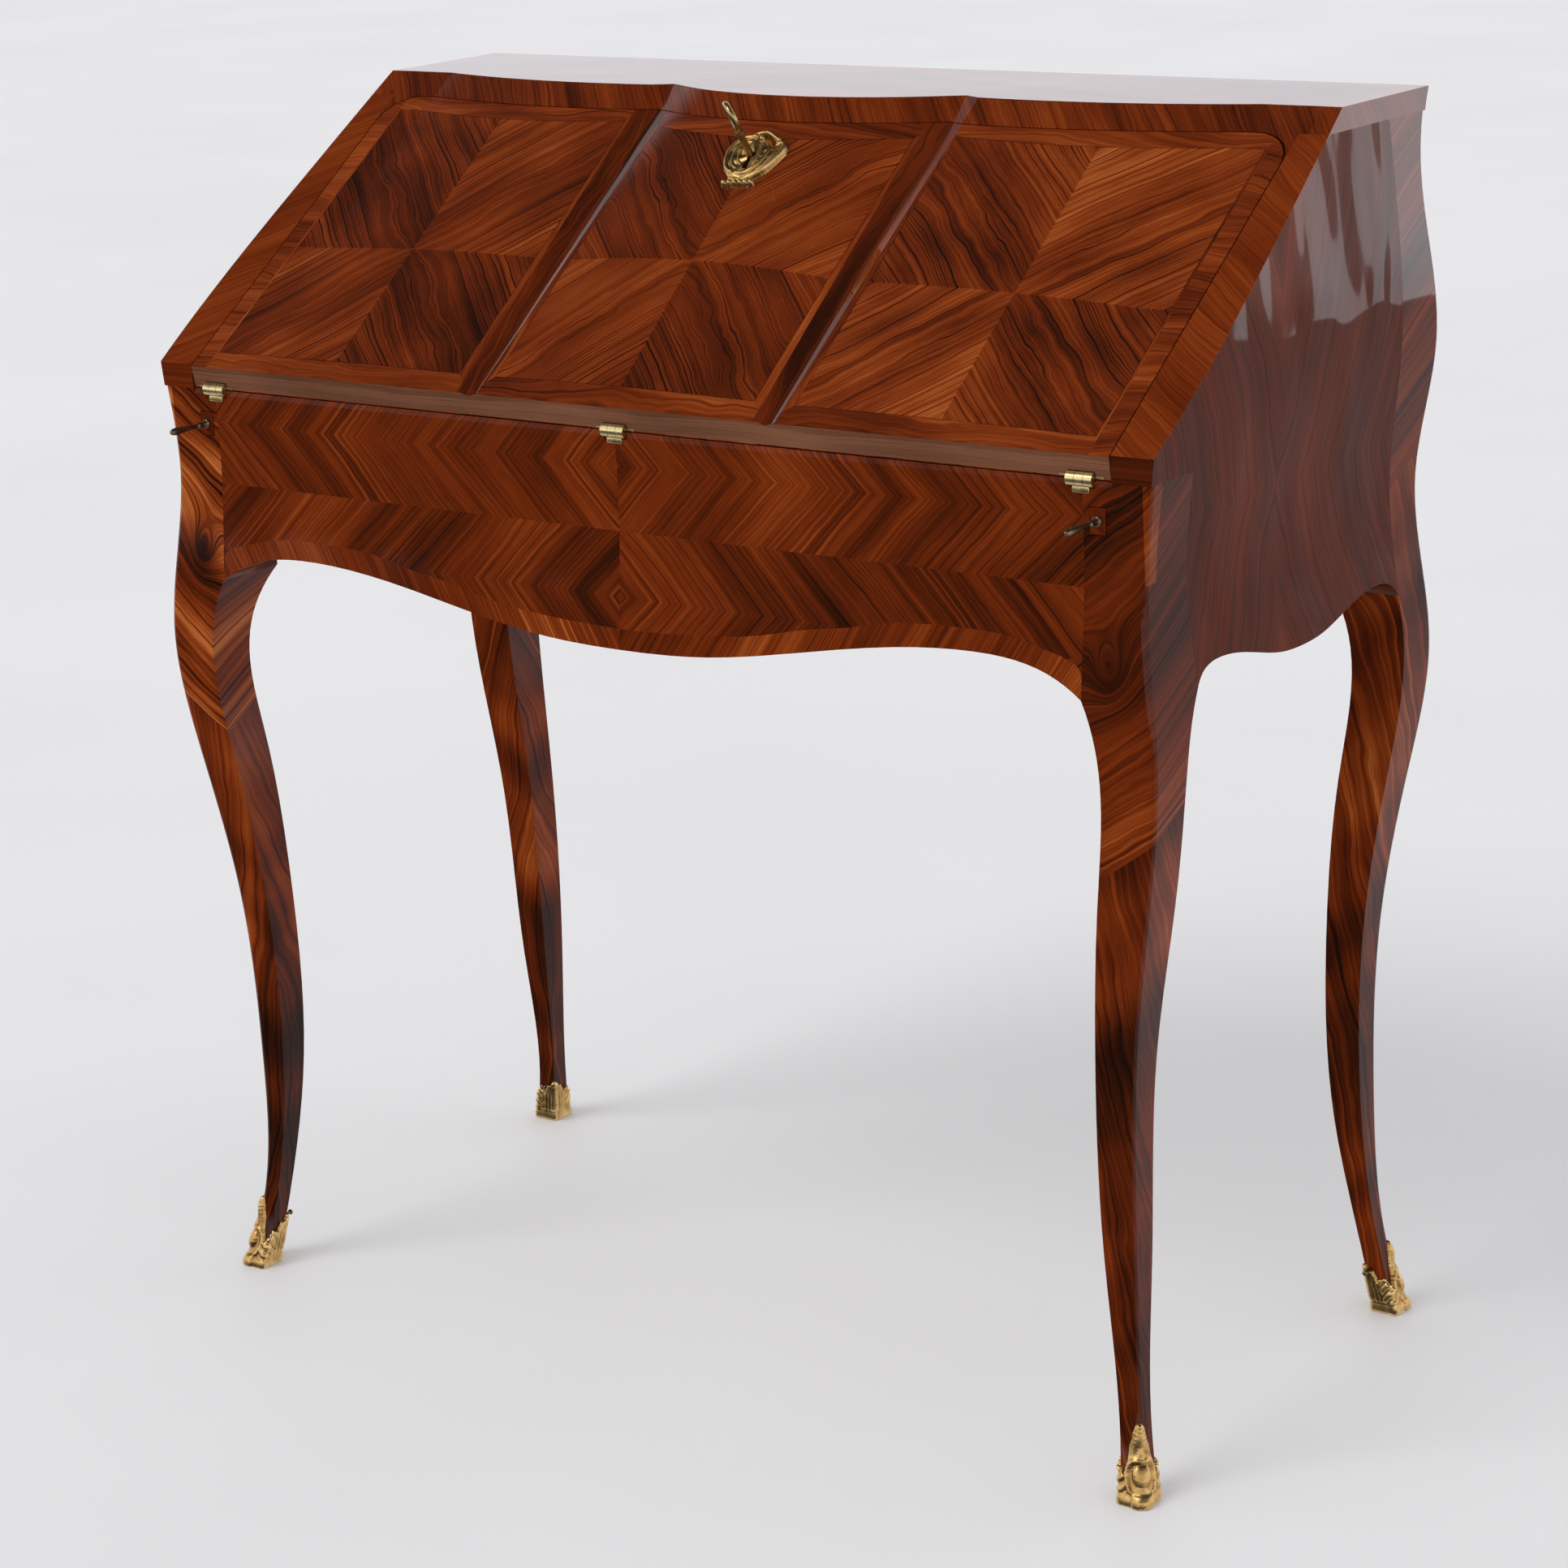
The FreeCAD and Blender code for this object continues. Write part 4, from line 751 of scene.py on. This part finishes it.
def sabot_relief(aside, share, up):
    """Height of the bronze over the wood at a distance from the outer corner and a height above the floor."""
    wave = EDGE_WAVE * math.sin(aside * EDGE_WAVES) * soft_step(aside / EDGE_START)
    room = leaf_edge(share) + wave - up
    wall = SABOT_WALL * soft_step(room / WALL_FADE + 0.5) - SINK * soft_step(SINK_START - room)
    toe = TOE_OUT * soft_step((TOE_ASIDE - aside) / TOE_FADE) * soft_step((TOE_TOP - up) / TOE_FADE)
    plinth = PLINTH_OUT * soft_step((PLINTH_TOP - up) / PLINTH_FADE) + toe
    boss = BOSS_OUT * dome(aside / BOSS_ASIDE, (up - BOSS_UP) / BOSS_TALL)
    ring = math.hypot(aside / SCROLL_ASIDE, (up - SCROLL_UP) / SCROLL_TALL)
    scroll = SCROLL_OUT * ridge(ring - 1, SCROLL_SHARE)
    rib = RIB_OUT * ridge(aside, RIB_HALF) * soft_step((up - RIB_FOOT) / RIB_FADE)
    flute_turn = 2 * math.pi * (aside + (up - RIB_FOOT) * FLUTE_LEAN) / FLUTE_PITCH
    flutes = FLUTE_OUT * math.cos(flute_turn) * soft_step((up - FLUTE_FOOT) / FLUTE_FADE)
    past = aside - LOBE_ASIDE
    lobe_turn = math.pi * (up - LOBE_FOOT + LOBE_LEAN * past) / LOBE_PITCH
    lobes = LOBE_OUT * abs(math.sin(lobe_turn)) * soft_step(past / LOBE_FADE)
    fan_turn = 2 * math.pi * (2 - share) * FAN_RIBS
    fan = FAN_OUT + FAN_DEPTH * math.cos(fan_turn) * soft_step((FAN_TOP - up) / FAN_FADE)
    inner = soft_step((share - FAN_SHARE) / FAN_START)
    sides = lobes * (1 - inner) + fan * inner
    above = soft_step((up - RELIEF_FOOT) / RELIEF_START) * soft_step(room / RELIEF_FADE)
    return wall + (plinth + max(boss, scroll, rib + flutes, sides) * above) * soft_step(room)


def foot_of_leg(node):
    """The lowest stretch of a leg as a fine, even mesh."""
    form = bmesh.new()
    form.from_mesh(nodes[node].data)
    form.transform(nodes[node].matrix_world)
    bmesh.ops.remove_doubles(form, verts=form.verts, dist=MM / 1000)
    parts = form.verts[:] + form.edges[:] + form.faces[:]
    cut = (0, 0, SABOT_CUT * MM)
    bmesh.ops.bisect_plane(form, geom=parts, plane_co=cut, plane_no=(0, 0, 1), clear_outer=True)
    bmesh.ops.holes_fill(form, edges=form.edges)
    stand_in = bpy.data.objects.new("foot", mesh_from("foot", form))
    grain = stand_in.modifiers.new("grain", "REMESH")
    grain.mode = "VOXEL"
    grain.voxel_size = SABOT_GRAIN * MM
    bpy.context.scene.collection.objects.link(stand_in)
    view = bpy.context.evaluated_depsgraph_get()
    mesh = bpy.data.meshes.new_from_object(stand_in.evaluated_get(view))
    bpy.data.objects.remove(stand_in)
    return mesh


def cast_sabot(leg, sabot):
    """The bronze foot of a leg: leaves, scrolls and a boss raised over the wood, sunk into it elsewhere.

    Gives the mesh of its nail.
    """
    mesh = foot_of_leg(leg)
    low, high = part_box(sabot)
    side = math.copysign(1, low.x + high.x)
    face = math.copysign(1, low.y + high.y)
    spots = [(side * v.co.x / MM, face * v.co.y / MM, v.co.z / MM) for v in mesh.vertices]
    levels = {}
    for out, over, up in spots:
        levels.setdefault(round(up), []).append((out, over))
    corners = {up: [max(c) for c in zip(*found)] for up, found in levels.items()}
    widths = {up: max(out for out, over in found) - min(out for out, over in found)
              for up, found in levels.items()}
    sole = min(up for out, over, up in spots)
    lift = []
    for vertex, (out, over, up) in zip(mesh.vertices, spots):
        corner_out, corner_over = corners[round(up)]
        aside = max(0, corner_out - out + corner_over - over - ARRIS_CUT)
        height = sabot_relief(aside, aside / widths[round(up)], up)
        flat = Vector((vertex.normal.x, vertex.normal.y, 0))
        down = soft_step(sole + SOLE_FADE - up) * sole
        lift.append((flat * height - Vector((0, 0, down))) * MM)
    for vertex, move in zip(mesh.vertices, lift):
        vertex.co += move
    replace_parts(show(f"cast_{sabot}", mesh, "case", "gilt_bronze"), sabot)
    level = [(out, over) for out, over, up in spots if abs(up - NAIL_UP) < NEAR]
    nail_out = min(out for out, over in level) + NAIL_INSET
    nail_over = min(over for out, over in level if abs(out - nail_out) < NEAR)
    place = Vector((side * nail_out, face * nail_over, NAIL_UP)) * MM
    return turned(f"nail_{sabot}", NAIL_OUTLINE, place, Vector((0, -face, 0)))


nail_form = bmesh.new()
for node in nodes_ending("_sabot"):
    nail_form.from_mesh(cast_sabot(node.replace("_sabot", "_leg"), node))
nail_mesh = mesh_from("standing_nails", nail_form)
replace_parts(show("standing_nails", nail_mesh, "case", "dull_bronze"), "sabot_nails")

# Slender pulls of the lopers: radius and distance along the axis
PULL_OUTLINE = ((3.6, 0), (3.6, 1.6), (2.4, 3), (1.7, 6), (2.5, 8.5), (2.5, 10), (1.6, 12.5), (1.8, 19),
                (2.5, 26), (2.9, 32), (2.6, 36.5), (1.5, 39.2), (0.1, 40))


def turned_pull(node, body):
    """A turned pull that points out of the loper's end."""
    low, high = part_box(node)
    place = Vector(((low.x + high.x) / 2, high.y, (low.z + high.z) / 2))
    mesh = turned(f"turned_{node}", PULL_OUTLINE, place, Vector((0, -1, 0)))
    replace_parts(show(f"turned_{node}", mesh, body, "dull_bronze"), node)


# Shell escutcheon: half width, height and line of its strands, across the slope and up it from the keyhole
SHELL_STRANDS = (
    (2.2, 4.2, ((-5, 18), (-15, 14), (-20, 2), (-16, -12), (-5, -19))),
    (1.9, 3.4, ((-4, 13), (-11, 10), (-15, 1), (-12, -9), (-4, -14))),
    (1.6, 2.8, ((-4, 8), (-8, 5), (-10, 0), (-8, -6), (-4, -9))),
    (2.6, 5.2, ((-7, -23), (4, -24), (14, -18), (22, -6), (26, 7), (22, 13), (18, 10))),
    (2.3, 4.6, ((-6, -17), (5, -17), (12, -8), (14, 4), (13, 10))),
    (1.8, 3.6, ((6, -10), (8, -2), (8, 6), (6, 12))),
    (1.7, 3.4, ((12, -14), (18, -3), (20, 6), (16, 14))),
    (1.9, 4.0, ((-9, 16), (-2, 20), (6, 21), (13, 18), (19, 15))),
)
# Its beads by place and radius: a row along the foot, then single ones
ROW_START, ROW_PITCH, ROW_RADIUS, ROW_BEADS = (-9, -28), (4.6, 0.4), 2.4, 6
SHELL_BEADS = [(ROW_START[0] + ROW_PITCH[0] * number, ROW_START[1] + ROW_PITCH[1] * number, ROW_RADIUS)
               for number in range(ROW_BEADS)]
SHELL_BEADS += [(-3, 17, 2.2), (3, 15.5, 2.4), (5, 21, 2.2), (18, 15, 2.4), (-9, -17, 2)]
SHELL_HALF, SHELL_STEP = 33, 0.5
# Its ground, dished round a middle with ribs that spread from beside it, and how strands and beads rise
GROUND_RISE, GROUND_DROP, GROUND_RADIUS, GROUND_FADE = 1.6, 3.5, 18, 4
GROUND_ACROSS, GROUND_UP = -1, -2
RAYS, RAY_RISE, RAY_ACROSS = 9, 0.5, 4
STRAND_END, BEAD_RISE = 0.55, 2
KEYHOLE_RADIUS, KEYHOLE_HALF, KEYHOLE_FOOT = 3.4, 1.9, -13
# The slope's face at the keyhole: height off the hinge plane, climb up the slope, and bow across it
FACE_OUT, FACE_CLIMB, FACE_BOW = 40.53, 0.0973, 0.00107


def shell_height(across, up, strands):
    """Height of the shell over the slope: a dished ground, strands and beads; below 0 outside it."""
    rim = math.hypot(across - GROUND_ACROSS, up - GROUND_UP) - GROUND_RADIUS
    ground = GROUND_RISE - GROUND_DROP * soft_step(rim / GROUND_FADE)
    height = ground + RAY_RISE * math.cos(RAYS * math.atan2(up, across - RAY_ACROSS))
    for width, rise, line in strands:
        for number, (x, y) in enumerate(line):
            taper = STRAND_END + (1 - STRAND_END) * math.sin(math.pi * (number + 1) / (len(line) + 1))
            away = math.hypot(across - x, up - y) / (width * taper)
            if away < 1:
                height = max(height, rise * taper * dome(away))
    for x, y, radius in SHELL_BEADS:
        height = max(height, BEAD_RISE * radius * dome((across - x) / radius, (up - y) / radius))
    return height


def shell_escutcheon():
    """The cast shell round the keyhole; its rim runs on below the wood."""
    key_up = (key_point - fall_axis).dot(uphill) / MM
    strands = [(width, rise, list(smooth_line(points))) for width, rise, points in SHELL_STRANDS]
    count = round(2 * SHELL_HALF / SHELL_STEP) + 1
    places = [number * SHELL_STEP - SHELL_HALF for number in range(count)]
    heights = [[shell_height(x, y, strands) for x in places] for y in places]
    points = []
    for y, row in zip(places, heights):
        for x, height in zip(places, row):
            out = FACE_OUT + FACE_CLIMB * y - FACE_BOW * x * x + height
            points.append(fall_axis + (Vector((x, 0, 0)) + uphill * (key_up + y) + fall_normal * out) * MM)
    faces = []
    for i, y in enumerate(places[:-1]):
        for j, x in enumerate(places[:-1]):
            slot_room = abs(x) < KEYHOLE_HALF and KEYHOLE_FOOT < y < 0
            highest = max(heights[i][j], heights[i][j + 1], heights[i + 1][j], heights[i + 1][j + 1])
            if highest > 0 and not slot_room and math.hypot(x, y) > KEYHOLE_RADIUS:
                start = i * count + j
                faces.append((start, start + 1, start + count + 1, start + count))
    mesh = mesh_of("shell_escutcheon", points, faces)
    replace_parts(show("shell_escutcheon", mesh, "fall", "gilt_bronze"), "escutcheon")


shell_escutcheon()
for loper in ("left_loper", "right_loper"):
    turned_pull(f"{loper}_pull", loper)

# Small lips of the hinges: half width, height, how far they stand out and lie below the hinge, and rounding
LIP_HALF, LIP_HEIGHT, LIP_PROUD, LIP_DROP, LIP_ROUND = 6.5, 4.4, 1.5, 4.6, 0.7


def hinge_lip(node):
    """The turned-out lower edge of a hinge's case leaf, below its barrel."""
    low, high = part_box(node)
    across = (low.x + high.x) / 2
    form = bmesh.new()
    bmesh.ops.create_cube(form, size=1)
    size = (2 * LIP_HALF * MM, 2 * LIP_PROUD * MM, LIP_HEIGHT * MM)
    place = (across, fall_axis.y - LIP_PROUD * MM / 2, fall_axis.z - (LIP_DROP + LIP_HEIGHT / 2) * MM)
    bmesh.ops.scale(form, vec=size, verts=form.verts)
    bmesh.ops.translate(form, vec=place, verts=form.verts)
    bmesh.ops.bevel(form, geom=form.edges, offset=LIP_ROUND * MM, segments=3, profile=0.5, affect="EDGES")
    show(f"lip_{node}", mesh_from(f"lip_{node}", form), "case", "brass")


for node in nodes_ending("_hinge_case_leaf"):
    hinge_lip(node)

# Stage, lights and camera


def add_lamp(name, data, way):
    """A lamp that shines in a direction."""
    lamp = bpy.data.objects.new(name, data)
    lamp.rotation_mode = "QUATERNION"
    lamp.rotation_quaternion = way.to_track_quat("-Z", "Y")
    bpy.context.scene.collection.objects.link(lamp)
    return lamp


def area_light(name, place, target, size, power, colour):
    """A panel of light aimed at a point, seen only where polished faces mirror it."""
    data = bpy.data.lights.new(name, "AREA")
    data.shape = "RECTANGLE"
    data.size, data.size_y = size
    data.energy = power
    data.color = colour
    lamp = add_lamp(name, data, Vector(target) - Vector(place))
    lamp.location = place
    lamp.visible_camera = False
    lamp.visible_diffuse = False


def sky_light(name, way, energy, spread, glossy):
    """Even light from far off along a direction; spread is the angle that its source fills."""
    data = bpy.data.lights.new(name, "SUN")
    data.energy = energy
    data.angle = math.radians(spread)
    add_lamp(name, data, Vector(way)).visible_glossy = glossy


FLOOR_REACH = 30.0
FLOOR_TONES = ((0.3, (0.80, 0.795, 0.80)), (0.7, (0.84, 0.835, 0.84)))
FLOOR_CLOUD, FLOOR_ROUGH, FLOOR_SPREAD = 1.3, 0.55, 0.1


def floor_material():
    """Pale grey with faint clouds."""
    graph = Graph("studio_floor")
    cloud = graph.noise((graph.x, graph.y, 0.0), detail=3.0, scale=FLOOR_CLOUD)
    return graph.finish(graph.ramp(cloud, FLOOR_TONES), FLOOR_ROUGH + cloud * FLOOR_SPREAD)


floor_corners = [(x * FLOOR_REACH, y * FLOOR_REACH, 0) for x, y in ((-1, -1), (1, -1), (1, 1), (-1, 1))]
floor_mesh = mesh_of("studio_floor", floor_corners, [(0, 1, 2, 3)])
floor = bpy.data.objects.new("studio_floor", floor_mesh)
floor_mesh.materials.append(floor_material())
bpy.context.scene.collection.objects.link(floor)
floor.visible_glossy = False

sky_light("key_light", way=(0.30, 0.62, -0.72), energy=0.9, spread=30, glossy=True)
sky_light("fill_light", way=(0.0, 0.0, -1.0), energy=1.6, spread=130, glossy=False)
area_light("side_light", place=(1.55, 2.24, 0.8), target=(0.43, 0.06, 0.82), size=(0.22, 0.75), power=1.3,
           colour=(0.90, 0.95, 1.0))

# The room, by the upward part of a direction: bright walls up to a level, a dark ceiling from another one
WALLS, CEILING = (0.25, (0.95, 0.96, 1.0, 1)), (0.55, (0.045, 0.045, 0.05, 1))
ROOM_STRENGTH = 1.45
# Polish looks past the floor: below the horizon it sees the room as at a level, and darker towards the front
HORIZON_SLOPE, FRONT_SLOPE, BELOW_LEVEL = -8.0, -1.2, 0.39


def studio_world():
    """White walls near the horizon, a dark ceiling, and a dark lower half of the room before the desk."""
    world = bpy.data.worlds.new("studio")
    bpy.context.scene.world = world
    world.use_nodes = True
    tree = world.node_tree
    place = tree.nodes.new("ShaderNodeTexCoord")
    parts = tree.nodes.new("ShaderNodeSeparateXYZ")
    shade = tree.nodes.new("ShaderNodeValToRGB")
    tree.links.new(place.outputs["Generated"], parts.inputs[0])

    def joined(operation, *values):
        node = tree.nodes.new("ShaderNodeMath")
        node.operation = operation
        for slot, value in zip(node.inputs, values):
            if isinstance(value, bpy.types.NodeSocket):
                tree.links.new(value, slot)
            else:
                slot.default_value = value
        return node.outputs[0]

    depth = joined("MAXIMUM", joined("MULTIPLY", parts.outputs["Z"], HORIZON_SLOPE), 0.0)
    below = joined("MINIMUM", depth, 1.0)
    front = joined("MAXIMUM", joined("MULTIPLY", parts.outputs["Y"], FRONT_SLOPE), BELOW_LEVEL)
    level = joined("MAXIMUM", parts.outputs["Z"], joined("MULTIPLY", below, front))
    tree.links.new(level, shade.inputs[0])
    tree.links.new(shade.outputs[0], tree.nodes["Background"].inputs["Color"])
    tree.nodes["Background"].inputs["Strength"].default_value = ROOM_STRENGTH
    for stop, (place_up, colour) in zip(shade.color_ramp.elements, (WALLS, CEILING)):
        stop.position = place_up
        stop.color = colour


studio_world()
bpy.context.scene.view_settings.view_transform = "Standard"

CAMERA_PLACE = Vector((1.695, -2.3105, 1.256))
CAMERA_AZIMUTH, CAMERA_ELEVATION, CAMERA_ROLL = 36.25, 16.35, -2.41
CAMERA_LENS, SENSOR = 90.19, 36.0
azimuth, elevation, roll = (math.radians(a) for a in (CAMERA_AZIMUTH, CAMERA_ELEVATION, CAMERA_ROLL))
back = Vector((math.sin(azimuth) * math.cos(elevation), -math.cos(azimuth) * math.cos(elevation),
               math.sin(elevation)))
right = (-back).cross(Vector((0, 0, 1))).normalized()
over = right.cross(-back)
rolled_right = right * math.cos(roll) + over * math.sin(roll)
rolled_over = over * math.cos(roll) - right * math.sin(roll)
lens = bpy.data.cameras.new("camera")
lens.lens = CAMERA_LENS
lens.sensor_width = SENSOR
camera = bpy.data.objects.new("camera", lens)
camera.matrix_world = Matrix((rolled_right, rolled_over, back)).transposed().to_4x4()
camera.location = CAMERA_PLACE
bpy.context.scene.collection.objects.link(camera)
bpy.context.scene.camera = camera

bpy.context.view_layer.update()
